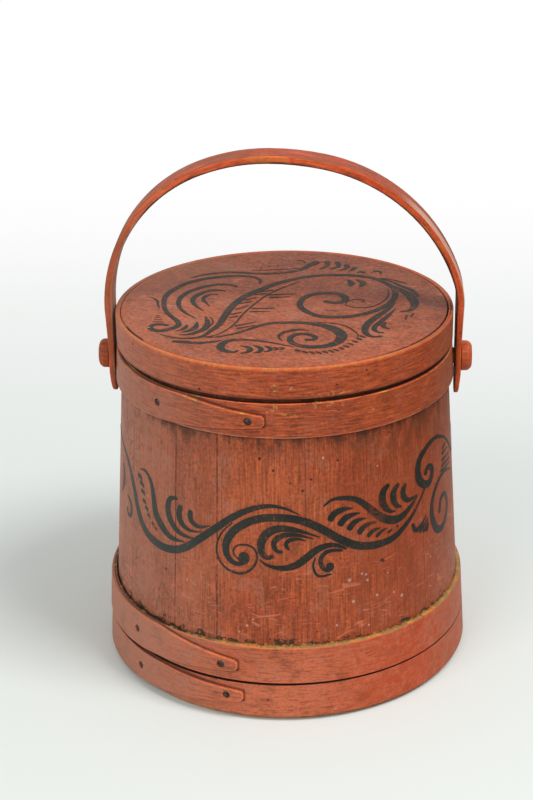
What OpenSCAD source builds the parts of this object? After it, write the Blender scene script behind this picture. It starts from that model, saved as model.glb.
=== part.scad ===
// Lidded sugar bucket of coopered staves, lapped wooden hoops and a bentwood swing handle.
// Millimetres. The origin is at the centre of the foot, Z is up, X runs along the handle pegs.

/* [Staves] */
// Outer radius of the wall at the foot
foot_r = 121.5; // [105:0.5:140]
// Outer radius of the wall at the stave tops
top_r = 107.2; // [95:0.1:118]
// Height of the staves
stave_h = 234; // [200:1:280]
// Thickness of the staves
stave_t = 11; // [9:0.5:14]
// Open joint between neighbouring staves
stave_gap = 0.2; // [0.1:0.05:0.4]
// Bevel along the inner edge of the stave tops
chime_bevel = 1.5; // [0.5:0.1:2.5]

/* [Bottom] */
// Thickness of the bottom board
bottom_t = 12; // [8:0.5:16]
// Height of the bottom board above the foot
bottom_z = 18; // [10:1:30]
// Depth of the groove that holds the bottom board
croze_depth = 4; // [2:0.5:5]
// Clearance of the bottom board in its groove
croze_clear = 0.2; // [0.1:0.05:0.4]

/* [Hoops] */
// Thickness of the hoops
hoop_t = 3.2; // [2.6:0.1:4.5]
// Clearance between the hoops and the wall
hoop_seat = 0.1; // [0.05:0.05:0.3]
// Height of the base hoop above the foot
base_hoop_z = 3; // [1:0.5:8]
// Height of the base hoop
base_hoop_h = 23.8; // [20:0.2:30]
// Height of the middle hoop
middle_hoop_h = 24.6; // [20:0.2:30]
// Height of the upper hoop
upper_hoop_h = 22.6; // [20:0.2:28]
// Open space between the base hoop and the middle hoop
hoop_space = 1.2; // [0.6:0.1:3]
// Open space between the lid rim and the upper hoop
lid_space = 3; // [1.5:0.1:6]

/* [Hoop laps] */
// Thickness of the lapping finger
lap_t = 2.3; // [1.8:0.1:2.8]
// How far the tip of a finger stands off its hoop
lap_gap = 0.25; // [0.15:0.05:0.5]
// Angle over which a finger rises out of its hoop
lap_span = 82; // [70:1:86]
// Angle over which a finger narrows to its tip
lap_taper = 28; // [20:1:36]
// Height of the blunt tip
lap_tip_h = 7; // [5:0.5:9]
// Extra thickness of a finger along its lower edge
lap_extra_t = 0.2; // [0.1:0.05:0.4]
// Setback of a finger from the edges of its hoop
lap_inset = 0.4; // [0.2:0.1:0.8]
// Height of the upper finger's tip above the lower edge of its hoop
upper_tip_up = 8; // [6:0.5:11]
// Height of the middle finger's tip above the lower edge of its hoop
middle_tip_up = 7.5; // [6:0.5:11]
// Height of the base finger's tip above the lower edge of its hoop
base_tip_up = 11.5; // [7:0.5:13]

/* [Nails] */
// Diameter of a hoop nail's head
nail_head_d = 5.2; // [4:0.1:6]
// Height of a hoop nail's head
nail_head_h = 1; // [0.6:0.1:1.4]
// Diameter of a hoop nail's shank
nail_d = 2.2; // [1.6:0.1:3]
// Diameter of a lid brad's head
brad_head_d = 3; // [2.4:0.1:4]
// Height of a lid brad's head
brad_head_h = 0.4; // [0.3:0.1:0.8]
// Diameter of a lid brad's shank
brad_d = 1.6; // [1.2:0.1:2]
// Length of a lid brad's shank
brad_l = 14; // [10:0.5:20]
// Number of lid brads
brad_count = 8; // [4:1:12]
// Clearance around a nail's shank
nail_fit = 0.05; // [0.03:0.01:0.1]

/* [Lid] */
// Thickness of the lid board
lid_t = 8.5; // [6:0.5:11]
// Height of the lid rim
rim_h = 20; // [16:0.5:26]
// Thickness of the lid rim
rim_t = 3; // [2.4:0.1:4]
// Clearance of the lid rim around the stave tops
rim_clear = 0.6; // [0.4:0.1:1.2]
// Shrinkage gap between the lid board and its rim
board_gap = 0.4; // [0.2:0.05:0.8]
// Clearance of the lid board over the stave tops
lid_seat = 0.2; // [0.1:0.05:0.4]
// Width of the open line where the ends of the lid rim overlap
scarf_gap = 0.25; // [0.15:0.05:0.4]

/* [Pegs] */
// Height of the pegs above the lower edge of the upper hoop
peg_up = 10.5; // [9:0.5:13]
// Diameter of a peg's shank
peg_d = 11; // [8:0.5:13]
// Diameter of a peg's head
peg_head_d = 20; // [16:0.5:24]
// Length of a peg's head
peg_head_l = 7; // [5:0.5:10]
// Chamfer around the end of a peg's head
peg_chamfer = 1.8; // [1:0.1:2.5]
// Clearance of a peg in the hoop and stave
peg_fit = 0.04; // [0.02:0.01:0.08]

/* [Handle] */
// Height of the crown's underside above the pegs
crown_rise = 134; // [115:0.5:160]
// How far the crown sits left of centre
crown_left = 9.5; // [0:0.5:14]
// Thickness of the bent strip
handle_t = 5.2; // [4:0.1:6.5]
// Thickness of the ears at the pegs
ear_t = 4; // [3.4:0.1:5]
// Thickness of the lower ends of the ears
ear_end_t = 2.6; // [2:0.1:3.2]
// Width of the strip at the crown
crown_w = 20.5; // [16:0.5:21]
// Width of the ears
ear_w = 21; // [20:0.5:26]
// How far the ears reach below the pegs
ear_drop = 26; // [22:0.5:32]
// Clearance between the handle and what it swings past
handle_clear = 0.4; // [0.3:0.05:0.8]
// Radius of the right knee, where the strip leaves its straight leg
right_knee_r = 49; // [35:1:60]
// Radius of the right shoulder
right_shoulder_r = 114; // [100:1:125]
// Radius of the left knee
left_knee_r = 103; // [85:1:120]
// Radius of the left shoulder
left_shoulder_r = 93; // [80:1:105]
// Running clearance of the ears on the pegs
hinge_clear = 0.08; // [0.03:0.01:0.1]
// End play of the ears under the peg heads
hinge_play = 0.3; // [0.2:0.05:0.5]

/* [Hidden] */
$fn = 96;
past = 1;

// Going round from the front left, the staves have unequal widths
stave_shares = [24, 16, 29, 21, 24, 24, 27, 21, 24, 18, 25, 20, 24, 21, 28, 14];
stave_count = len(stave_shares);
first_seam_angle = -150;
function share_sum(n) = n == 0 ? 0 : stave_shares[n - 1] + share_sum(n - 1);
function seam_angle(n) = first_seam_angle + 360 * share_sum(n) / share_sum(stave_count);
function stave_name(i) = str("stave_", i < 9 ? "0" : "", i + 1);

wall_slope = (foot_r - top_r) / stave_h;
wall_tilt = atan(wall_slope);
function wall_r(z) = foot_r - wall_slope * z;

// Lid heights and radii, seated on the stave tops
lid_bottom = stave_h + lid_seat;
lid_top = lid_bottom + lid_t;
rim_bottom = lid_top - rim_h;
rim_in_r = wall_r(rim_bottom) + rim_clear;
rim_r = rim_in_r + rim_t;
lid_board_r = rim_in_r - board_gap;
brad_z = lid_bottom + lid_t / 2;
first_brad_angle = -147;

// The lid rim's ends overlap from inside to outside over this arc
scarf_from = -40;
scarf_to = 30;
scarf_lead = 15;
scarf_drop = rim_t + scarf_gap * 2;
scarf_turn = scarf_to - scarf_from;
scarf_shift = scarf_drop / (cos(scarf_lead) - cos(scarf_lead + scarf_turn));

// Hoop places
middle_hoop_z = base_hoop_z + base_hoop_h + hoop_space;
upper_hoop_z = rim_bottom - lid_space - upper_hoop_h;
upper_tip_angle = -93.7;
middle_tip_angle = -102.5;
base_tip_angle = -100.7;
function hoop_r(z) = wall_r(z) + hoop_seat + hoop_t;

// A finger lies on a circle moved sideways, so that it rises steadily to its tip
lap_lead = 90 - lap_span;
lap_shift = (lap_t + lap_gap) / cos(lap_lead);
nail_backs = [5.2, 38.5, 74];
function lap_r(z, back) = let (a = lap_lead + back)
    max(hoop_r(z), lap_shift * cos(a) + sqrt(hoop_r(z) ^ 2 - (lap_shift * sin(a)) ^ 2));

// Pegs and handle
peg_z = upper_hoop_z + peg_up;
leg_x = max(hoop_r(upper_hoop_z), rim_r + brad_head_h) + handle_clear;
peg_in = wall_r(peg_z) - stave_t + past;
peg_seat = leg_x + ear_t + hinge_play;
crown_z = peg_z + crown_rise;
right_bends = [[right_knee_r, 18.5], [right_shoulder_r, 59.5]];
left_bends = [[left_knee_r, 21], [left_shoulder_r, 48.5]];
right_span = leg_x + crown_left;
left_span = leg_x - crown_left;

// The crown arc closes each side, from the second bend up to level
function turned(b) = b[0][1] + b[1][1];
function crown_r(b, span) = (span - b[0][0] * (1 - cos(b[0][1]))
    - b[1][0] * (cos(b[0][1]) - cos(turned(b)))) / cos(turned(b));
function side_bends(b, span) = [b[0], b[1], [crown_r(b, span), 90 - turned(b)]];
function start_turn(b, n) = n == 0 ? 0 : start_turn(b, n - 1) + b[n - 1][1];
function side_rise(b, n) = n == 0 ? 0 : side_rise(b, n - 1)
    + b[n - 1][0] * (sin(start_turn(b, n)) - sin(start_turn(b, n - 1)));
function side_run(b, n) = n == 0 ? 0 : side_run(b, n - 1)
    + b[n - 1][0] * (cos(start_turn(b, n - 1)) - cos(start_turn(b, n)));
right_side = side_bends(right_bends, right_span);
left_side = side_bends(left_bends, left_span);
right_leg_top = crown_z - side_rise(right_side, 3);
left_leg_top = crown_z - side_rise(left_side, 3);

// Points along one face of a side, from its leg to just before the crown
bend_steps = 8;
ear_z = peg_z - ear_drop;
function bend_points(b, span, leg_top, out) = [
    for (n = [0 : len(b) - 1]) for (s = [0 : bend_steps - 1])
        let (r = b[n][0], from = start_turn(b, n), a = from + b[n][1] * s / bend_steps)
        [span - side_run(b, n) - r * cos(from) + (r + out) * cos(a),
         leg_top + side_rise(b, n) - r * sin(from) + (r + out) * sin(a)]
];
function ear_points(span) = [
    [span + ear_end_t, ear_z],
    [span + ear_t, peg_z - peg_head_d / 2], [span + ear_t, peg_z + peg_head_d / 2]
];
function reversed(list) = [for (i = [len(list) - 1 : -1 : 0]) list[i]];
function mirrored(list) = [for (p = list) [-p[0], p[1]]];
function flipped(list) = reversed(mirrored(list));

// A shaft along X through one side of the wall, turned to the given side
module peg_bore(side, r) {
    rotate([0, 90 * side, 0]) translate([0, 0, peg_in - stave_t])
        cylinder(r = r, h = peg_seat - peg_in + 2 * stave_t);
}

// One stave: a sector of the tapered wall with the groove for the bottom board
module stave(i) {
    joint = stave_gap / 2 / foot_r * 180 / PI;
    from = seam_angle(i) + joint;
    turn = seam_angle(i + 1) - joint - from;
    in_top = bottom_z + bottom_t;
    color("#a4492c") difference() {
        rotate_extrude(angle = turn, start = from) polygon([
            [foot_r - stave_t, 0], [foot_r, 0], [top_r, stave_h],
            [top_r - stave_t + chime_bevel, stave_h],
            [wall_r(stave_h - chime_bevel) - stave_t, stave_h - chime_bevel],
            [wall_r(in_top) - stave_t, in_top],
            [wall_r(in_top) - stave_t + croze_depth, in_top],
            [wall_r(bottom_z) - stave_t + croze_depth, bottom_z],
            [wall_r(bottom_z) - stave_t, bottom_z]
        ]);
        for (side = [-1, 1]) translate([0, 0, peg_z]) peg_bore(side, peg_d / 2 + peg_fit);
    }
}

// Round board held in the groove of the staves
module bottom_board() {
    z0 = bottom_z + croze_clear;
    z1 = bottom_z + bottom_t - croze_clear;
    groove = croze_depth - stave_t - croze_clear;
    color("#b08a5c") rotate_extrude() polygon([
        [0, z0], [wall_r(z0) + groove, z0], [wall_r(z1) + groove, z1], [0, z1]
    ]);
}

// Profile of a band that follows the wall's taper, measured from the wall, a little thicker at one edge
module band_profile(z0, h, in_gap, t, lean = 0) {
    polygon([
        [wall_r(z0) + in_gap, z0], [wall_r(z0) + in_gap + t + lean, z0],
        [wall_r(z0 + h) + in_gap + t, z0 + h], [wall_r(z0 + h) + in_gap - lean, z0 + h]
    ]);
}

// The outer end of a hoop, which laps over its start and narrows to a blunt tip
module lap_finger(z0, h, tip_a, tip_up) {
    mid_a = tip_a - lap_taper / 2;
    reach = hoop_r(z0) * sin(lap_taper / 2);
    corner = lap_tip_h / 4;
    low = z0 + lap_inset;
    high = z0 + h - lap_inset;
    tip_low = z0 + tip_up;
    tip_high = tip_low + lap_tip_h;
    intersection() {
        rotate([0, 0, tip_a + lap_lead]) translate([lap_shift, 0, 0])
            rotate_extrude(angle = lap_span + 2 * lap_lead, start = -lap_span - 2 * lap_lead)
                band_profile(low, high - low, hoop_seat + hoop_t - lap_t, lap_t, lap_extra_t);
        rotate([90, 0, mid_a + 90]) linear_extrude(height = 2 * foot_r) polygon([
            [-2 * foot_r, low], [-reach, low], [reach - corner, tip_low], [reach, tip_low + corner],
            [reach, tip_high - corner], [reach - corner, tip_high], [-reach, high], [-2 * foot_r, high]
        ]);
    }
}

// Moves a nail to its place on a hoop, clear of the finger's thicker edge, pointing out from the wall
module at_lap_nails(z0, h, tip_a, tip_up) {
    for (i = [0 : len(nail_backs) - 1]) {
        z = i == 0 ? z0 + tip_up + lap_tip_h / 2 : z0 + h / 2;
        rotate([0, 0, tip_a - nail_backs[i]]) translate([lap_r(z, nail_backs[i]) + lap_extra_t, 0, z])
            rotate([0, 90 - wall_tilt, 0]) children();
    }
}

// Lapped wooden hoop with its nail holes
module hoop(z0, h, tip_a, tip_up) {
    difference() {
        union() {
            rotate_extrude() band_profile(z0, h, hoop_seat, hoop_t);
            lap_finger(z0, h, tip_a, tip_up);
        }
        at_lap_nails(z0, h, tip_a, tip_up) translate([0, 0, -2 * (hoop_t + lap_t)])
            cylinder(d = nail_d + 2 * nail_fit, h = 3 * (hoop_t + lap_t), $fn = 32);
    }
}

// Iron nails of one hoop, clinched inside it
module hoop_nails(z0, h, tip_a, tip_up) {
    color("#4a4542") at_lap_nails(z0, h, tip_a, tip_up) rotate_extrude($fn = 32) polygon([
        [0, nail_fit - hoop_t], [nail_d / 2, nail_fit - hoop_t], [nail_d / 2, nail_fit],
        [nail_head_d / 2, nail_fit], [nail_head_d / 2, nail_fit + nail_head_h / 2],
        [nail_head_d / 3, nail_fit + nail_head_h], [0, nail_fit + nail_head_h]
    ]);
}

module base_hoop() {
    color("#b4502f") hoop(base_hoop_z, base_hoop_h, base_tip_angle, base_tip_up);
}

module middle_hoop() {
    color("#b4502f") hoop(middle_hoop_z, middle_hoop_h, middle_tip_angle, middle_tip_up);
}

module upper_hoop() {
    color("#b4502f") difference() {
        hoop(upper_hoop_z, upper_hoop_h, upper_tip_angle, upper_tip_up);
        for (side = [-1, 1]) translate([0, 0, peg_z]) peg_bore(side, peg_d / 2 + peg_fit);
    }
}

module base_hoop_nails() {
    hoop_nails(base_hoop_z, base_hoop_h, base_tip_angle, base_tip_up);
}

module middle_hoop_nails() {
    hoop_nails(middle_hoop_z, middle_hoop_h, middle_tip_angle, middle_tip_up);
}

module upper_hoop_nails() {
    hoop_nails(upper_hoop_z, upper_hoop_h, upper_tip_angle, upper_tip_up);
}

// Headed wooden peg, driven through ear, hoop and stave
module handle_peg(side) {
    peg_end = peg_seat + peg_head_l;
    color("#a0452b") translate([0, 0, peg_z]) rotate([0, 90 * side, 0]) rotate_extrude() polygon([
        [0, peg_in], [peg_d / 2, peg_in], [peg_d / 2, peg_seat], [peg_head_d / 2, peg_seat],
        [peg_head_d / 2, peg_end - peg_chamfer], [peg_head_d / 2 - peg_chamfer, peg_end], [0, peg_end]
    ]);
}

// The strip seen from the front: straight legs with thinner ears, bent over to the crown
module handle_profile() {
    polygon(concat(
        ear_points(right_span), bend_points(right_side, right_span, right_leg_top, handle_t),
        [[0, crown_z + handle_t]],
        flipped(concat(ear_points(left_span), bend_points(left_side, left_span, left_leg_top, handle_t))),
        mirrored(concat([[left_span, ear_z]], bend_points(left_side, left_span, left_leg_top, 0))),
        [[0, crown_z]],
        reversed(concat([[right_span, ear_z]], bend_points(right_side, right_span, right_leg_top, 0)))
    ));
}

// Width of the strip seen from the side: round ears that narrow towards the crown
module handle_outline() {
    end_r = ear_w / 2;
    end_z = ear_z + end_r;
    narrow_z = right_leg_top + crown_rise / 4;
    top_z = crown_z + 2 * handle_t;
    polygon(concat(
        [for (a = [180 : 15 : 360]) [end_r * cos(a), end_z + end_r * sin(a)]],
        [[end_r, peg_z + peg_head_d / 2], [crown_w / 2, narrow_z], [crown_w / 2, top_z],
         [-crown_w / 2, top_z], [-crown_w / 2, narrow_z], [-end_r, peg_z + peg_head_d / 2]]
    ));
}

module handle() {
    color("#ad4a2c") difference() {
        intersection() {
            translate([-crown_left, ear_w / 2, 0]) rotate([90, 0, 0]) linear_extrude(height = ear_w)
                handle_profile();
            translate([-2 * leg_x, 0, 0]) rotate([90, 0, 90]) linear_extrude(height = 4 * leg_x)
                handle_outline();
        }
        for (side = [-1, 1]) translate([0, 0, peg_z]) peg_bore(side, peg_d / 2 + hinge_clear);
    }
}

// Places a brad around the lid rim, pointing outwards
module at_brads() {
    for (i = [0 : brad_count - 1])
        rotate([0, 0, first_brad_angle + 360 * i / brad_count]) translate([rim_r, 0, brad_z])
            rotate([0, 90, 0]) children();
}

module brad_holes() {
    at_brads() translate([0, 0, -brad_l - past])
        cylinder(d = brad_d + 2 * nail_fit, h = brad_l + 2 * past, $fn = 32);
}

module lid_board() {
    color("#b5502f") difference() {
        translate([0, 0, lid_bottom]) cylinder(r = lid_board_r, h = lid_t);
        brad_holes();
    }
}

// Bent rim whose thinned ends overlap in a long slanting line
module lid_rim() {
    color("#b8522e") difference() {
        translate([0, 0, rim_bottom]) rotate_extrude() translate([rim_in_r, 0]) square([rim_t, rim_h]);
        rotate([0, 0, scarf_to + scarf_lead]) translate([scarf_shift, 0, 0])
            rotate_extrude(angle = scarf_turn + scarf_lead, start = -scarf_turn - scarf_lead * 3 / 2)
                translate([rim_r + scarf_gap - scarf_shift * cos(scarf_lead), rim_bottom - past])
                    square([scarf_gap, rim_h + 2 * past]);
        brad_holes();
    }
}

module lid_nails() {
    color("#4a4542") at_brads() rotate_extrude($fn = 32) polygon([
        [0, -brad_l], [brad_d / 2, -brad_l], [brad_d / 2, nail_fit], [brad_head_d / 2, nail_fit],
        [brad_head_d / 3, nail_fit + brad_head_h], [0, nail_fit + brad_head_h]
    ]);
}

for (i = [0 : stave_count - 1]) stave(i);
bottom_board();
base_hoop();
middle_hoop();
upper_hoop();
base_hoop_nails();
middle_hoop_nails();
upper_hoop_nails();
handle_peg(-1);  // handle_peg_left
handle_peg(1);  // handle_peg_right
handle();
lid_board();
lid_rim();
lid_nails();
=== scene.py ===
import math
import random

import bmesh
import bpy
from mathutils import Matrix, Vector


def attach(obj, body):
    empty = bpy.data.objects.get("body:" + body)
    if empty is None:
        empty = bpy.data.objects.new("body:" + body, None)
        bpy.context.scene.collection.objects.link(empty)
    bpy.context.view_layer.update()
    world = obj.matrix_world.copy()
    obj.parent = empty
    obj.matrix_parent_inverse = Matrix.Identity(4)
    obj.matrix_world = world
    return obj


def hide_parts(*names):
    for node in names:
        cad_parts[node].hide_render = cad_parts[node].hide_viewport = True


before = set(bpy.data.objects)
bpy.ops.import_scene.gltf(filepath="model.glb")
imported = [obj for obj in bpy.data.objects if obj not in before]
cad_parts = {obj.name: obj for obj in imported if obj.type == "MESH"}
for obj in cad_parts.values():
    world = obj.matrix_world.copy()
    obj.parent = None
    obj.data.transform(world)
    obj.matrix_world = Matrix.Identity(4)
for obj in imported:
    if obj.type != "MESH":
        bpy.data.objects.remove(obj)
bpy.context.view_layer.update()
print("frame loaded with", len(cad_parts), "solids")

mm = 0.001
holeCuts = 24


def pick(piece):
    bpy.ops.object.select_all(action="DESELECT")
    piece.select_set(True)
    bpy.context.view_layer.objects.active = piece


def nameIt(name):
    piece = bpy.context.object
    piece.name = piece.data.name = name
    return piece


def useModifier(piece, kind, **settings):
    pick(piece)
    modifier = piece.modifiers.new(kind.title(), kind)
    for key, value in settings.items():
        setattr(modifier, key, value)
    bpy.ops.object.modifier_apply(modifier=modifier.name)


def joinAll(pieces, name):
    pick(pieces[0])
    for piece in pieces[1:]:
        piece.select_set(True)
    bpy.ops.object.join()
    return nameIt(name)


def faceOut():  # in edit mode: turns all faces outwards and leaves it
    bpy.ops.mesh.select_all(action="SELECT")
    bpy.ops.mesh.normals_make_consistent(inside=False)
    bpy.ops.object.mode_set(mode="OBJECT")


def pickFaces(piece, wanted):  # in edit mode: picks faces by how far they look up
    mesh = bmesh.from_edit_mesh(piece.data)
    for face in mesh.faces:
        face.select = wanted(face.normal.z)
    bmesh.update_edit_mesh(piece.data)


def polar(radius, angle, z):
    a = math.radians(angle)
    return Vector((radius * math.cos(a), radius * math.sin(a), z))


def placeEnd(piece, section):
    mesh = bmesh.from_edit_mesh(piece.data)
    end = next(face for face in mesh.faces if face.select)
    for vert, spot in zip(end.verts, section):
        vert.co = spot
    bmesh.update_edit_mesh(piece.data)


def pullStrip(name, sections):  # an outline pulled out section by section, as a bent strip of wood
    bpy.ops.mesh.primitive_circle_add(vertices=len(sections[0]), radius=0.01, fill_type="NGON")
    piece = nameIt(name)
    bpy.ops.object.mode_set(mode="EDIT")
    placeEnd(piece, sections[0])
    for section in sections[1:]:
        bpy.ops.mesh.extrude_region_move(TRANSFORM_OT_translate={"value": (0, 0, mm)})
        placeEnd(piece, section)
    faceOut()
    return piece


# rounds the edges and marks them, where paint is rubbed off
def roundEdges(piece, width, segments=3, sharp=32, beside=0.0):
    for _ in range(2):
        piece.data.materials.append(None)
    useModifier(piece, "BEVEL", width=width, segments=segments, limit_method="ANGLE",
                angle_limit=math.radians(sharp), material=1, use_clamp_overlap=False)
    mesh = piece.data
    flat = {v for face in mesh.polygons if face.material_index == 0 for v in face.vertices}
    curved = {v for face in mesh.polygons if face.material_index == 1 for v in face.vertices}
    marks = [(beside if i in flat else 1.0) if i in curved else 0.0
             for i in range(len(mesh.vertices))]
    for name, values in (("edgeRub", marks), ("upFace", [v.normal.z for v in mesh.vertices])):
        mesh.attributes.new(name, "FLOAT", "POINT").data.foreach_set("value", values)
    mesh.polygons.foreach_set("material_index", [0] * len(mesh.polygons))
    mesh.materials.clear()


# the wall unrolled from its middle: along it, up it, and how deep in it
def markFlat(piece, middle):
    mesh = piece.data
    flat = mesh.attributes.new("wallFlat", "FLOAT_VECTOR", "CORNER")
    values = [0.0] * (3 * len(mesh.loops))
    for face in mesh.polygons:
        near = middle
        for corner in face.loop_indices:
            x, y, z = mesh.vertices[mesh.loops[corner].vertex_index].co
            near = (math.degrees(math.atan2(y, x)) - near + 180) % 360 - 180 + near
            spot = math.radians(near) * wall["footR"], z, wallR(z) - math.hypot(x, y)
            values[3 * corner:3 * corner + 3] = spot
    flat.data.foreach_set("vector", values)


def smoothOff(piece, sharp=40):
    pick(piece)
    bpy.ops.object.shade_smooth_by_angle(angle=math.radians(sharp))
    useModifier(piece, "WEIGHTED_NORMAL", keep_sharp=True)


def cutHoles(piece, spots, radius, depth):  # round holes, each at a spot and along a direction
    pins = []
    for spot, direction in spots:
        turn = direction.to_track_quat("Z", "Y").to_euler()
        bpy.ops.mesh.primitive_cylinder_add(vertices=holeCuts, radius=radius, depth=2 * depth,
                                            location=spot, rotation=turn)
        bpy.ops.object.transform_apply()
        pins.append(bpy.context.object)
    cutter = joinAll(pins, "holeCutter")
    useModifier(piece, "BOOLEAN", operation="DIFFERENCE", solver="EXACT", object=cutter)
    bpy.data.objects.remove(cutter)


def finishPiece(piece, material, body, slot, *replaced):
    piece.data.materials.clear()
    piece.data.materials.append(material)
    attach(piece, body)
    if replaced:
        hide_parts(*replaced)


view = {"lens": 81, "sensor": 36, "turn": 3.5, "down": 23.556, "roll": -0.889, "far": 1.218489,
        "aim": (-0.012647, 0, 0.174172)}
bpy.ops.object.camera_add()
camera = nameIt("photoCamera")
camera.data.lens = view["lens"]
camera.data.sensor_width = view["sensor"]
camera.data.sensor_fit = "AUTO"
camera.matrix_world = (Matrix.Rotation(math.radians(view["turn"]), 4, "Z")
                       @ Matrix.Translation(view["aim"])
                       @ Matrix.Rotation(math.radians(90 - view["down"]), 4, "X")
                       @ Matrix.Rotation(math.radians(view["roll"]), 4, "Z")
                       @ Matrix.Translation((0, 0, view["far"])))
bpy.context.scene.camera = camera
bpy.context.scene.view_settings.view_transform = "Standard"


def srgb(red, green, blue):
    return tuple((c / 12.92 if c <= 0.04045 else ((c + 0.055) / 1.055) ** 2.4)
                 for c in (red / 255, green / 255, blue / 255)) + (1.0,)


def wire(tree, kind, inputs=None, **settings):
    made = tree.nodes.new(kind)
    for key, value in settings.items():
        setattr(made, key, value)
    for key, value in (inputs or {}).items():
        if isinstance(value, bpy.types.NodeSocket):
            tree.links.new(value, made.inputs[key])
        else:
            made.inputs[key].default_value = value
    return made


def treeOf(*values):  # sockets know the node tree that they are in
    return next(v.id_data for v in values if isinstance(v, bpy.types.NodeSocket))


def sums(operation, a, b=0.0, c=0.0, clamp=False):
    return wire(treeOf(a, b, c), "ShaderNodeMath", {0: a, 1: b, 2: c}, operation=operation,
                use_clamp=clamp).outputs[0]


def times(a, b):
    return sums("MULTIPLY", a, b)


def minus(a, b):
    return sums("SUBTRACT", a, b)


def scaled(a, by, plus):
    return sums("MULTIPLY_ADD", a, by, plus)


def most(a, b):
    return sums("MAXIMUM", a, b)


def awayFrom(a, b):
    return sums("ABSOLUTE", minus(a, b))


def ramp(value, low, high, out=(0.0, 1.0)):
    return wire(value.id_data, "ShaderNodeMapRange",
                {0: value, 1: low, 2: high, 3: out[0], 4: out[1]},
                interpolation_type="SMOOTHSTEP").outputs[0]


def blend(share, a, b, way="MIX"):  # of two colours, each a socket, a value or the name of a tint
    a, b = (tint[c] if isinstance(c, str) else c for c in (a, b))
    return wire(treeOf(share, a, b), "ShaderNodeMix", {0: share, 6: a, 7: b}, data_type="RGBA",
                blend_type=way).outputs[2]


def noiseAt(vector, scale, detail=3.0, rough=0.55, distort=0.0):
    return wire(vector.id_data, "ShaderNodeTexNoise",
                {"Vector": vector, "Scale": scale, "Detail": detail, "Roughness": rough,
                 "Distortion": distort}).outputs[0]


def distance(vector, spot):
    return wire(vector.id_data, "ShaderNodeVectorMath", {0: vector, 1: spot},
                operation="DISTANCE").outputs["Value"]


def apart(vector):
    return wire(vector.id_data, "ShaderNodeSeparateXYZ", {0: vector}).outputs


def objectPlace(tree):
    return wire(tree, "ShaderNodeTexCoord").outputs["Object"]


def freshMaterial(name):
    material = bpy.data.materials.new(name)
    material.use_nodes = True
    tree = material.node_tree
    tree.nodes.clear()
    return material, tree


white = (1, 1, 1, 1)
studio = {"floor": srgb(225, 231, 227), "size": 8, "place": (0, 1.5, -0.0002),
          "aim": Vector((0, 0, 0.15)), "dark": srgb(70, 70, 72), "darkFrom": 0.30, "darkTo": 0.40,
          "sky": 0.50, "fadeFrom": -0.05, "fadeTo": 1.1, "roundFrom": 0.65, "roundTo": 1.7}
lamps = {"keyBox": {"place": (1.02, -0.62, 2.1), "size": 0.8, "power": 31.0},
         "fillBox": {"place": (-0.95, -1.5, 1.5), "size": 1.2, "power": 15.0}}


def makeStudio():
    bpy.ops.mesh.primitive_plane_add(size=studio["size"], location=studio["place"])
    bpy.ops.object.transform_apply()
    floor = nameIt("paperFloor")
    material, tree = freshMaterial("palePaper")
    place = objectPlace(tree)
    across, along, up = apart(place)
    away = distance(place, (0, 0, 0))
    fade = most(ramp(along, studio["fadeFrom"], studio["fadeTo"]),
                ramp(away, studio["roundFrom"], studio["roundTo"]))
    paths = wire(tree, "ShaderNodeLightPath").outputs
    # a dark card at the right holds back bounced light
    aside = ramp(across, studio["darkFrom"], studio["darkTo"])
    aside = times(aside, minus(1.0, paths["Is Camera Ray"]))
    mirrored = most(paths["Is Glossy Ray"], paths["Is Transmission Ray"])
    mirrored = times(mirrored, minus(1.0, aside))
    seen = most(paths["Is Camera Ray"], mirrored)
    tone = blend(aside, studio["floor"], studio["dark"])
    paper = wire(tree, "ShaderNodeBsdfDiffuse", {"Color": tone}).outputs[0]
    bright = wire(tree, "ShaderNodeEmission", {"Color": white, "Strength": 1.0}).outputs[0]
    mixed = wire(tree, "ShaderNodeMixShader",
                 {0: times(fade, seen), 1: paper, 2: bright}).outputs[0]
    wire(tree, "ShaderNodeOutputMaterial", {"Surface": mixed})
    floor.data.materials.append(material)
    world = bpy.data.worlds.new("studioSky")
    world.use_nodes = True
    bpy.context.scene.world = world
    tree = world.node_tree
    paths = wire(tree, "ShaderNodeLightPath").outputs
    seen = most(paths["Is Camera Ray"], most(paths["Is Glossy Ray"], paths["Is Transmission Ray"]))
    sky = tree.nodes["Background"]
    sky.inputs["Color"].default_value = white
    tree.links.new(scaled(seen, 1 - studio["sky"], studio["sky"]), sky.inputs["Strength"])
    for name, lamp in lamps.items():
        aim = studio["aim"] - Vector(lamp["place"])
        bpy.ops.object.light_add(type="AREA", location=lamp["place"],
                                 rotation=aim.to_track_quat("-Z", "Y").to_euler())
        light = nameIt(name).data
        light.size, light.energy = lamp["size"], lamp["power"]


makeStudio()
print("camera and studio set")

wall = {"footR": 121.5 * mm, "topR": 107.2 * mm, "height": 234 * mm, "thick": 11 * mm,
        "chime": 1.5 * mm, "bottom": 18 * mm, "board": 12 * mm, "croze": 4 * mm, "gap": 0.08 * mm,
        "round": 0.18 * mm, "step": 2.5, "lean": 0.061, "gapSpread": (0.7, 1.3),
        "footSpread": (0, 0.35), "proudSpread": (-0.06, 0.06),
        "seams": (-150, -126, -110, -81, -60, -36, -12, 15, 36, 60, 78, 103, 123, 147, 168, 196,
                  210)}
luck = random.Random(12)


def wallR(z):
    return wall["footR"] + (wall["topR"] - wall["footR"]) * z / wall["height"]


def staveOutline(foot, proud):
    t, h, low = wall["thick"], wall["height"], wall["bottom"]
    high = low + wall["board"]
    return [(wallR(foot) + proud, foot), (wallR(h) + proud, h), (wallR(h) - t + wall["chime"], h),
            (wallR(h - wall["chime"]) - t, h - wall["chime"]), (wallR(high) - t, high),
            (wallR(high) - t + wall["croze"], high), (wallR(low) - t + wall["croze"], low),
            (wallR(low) - t, low), (wallR(foot) - t, foot)]


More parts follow.
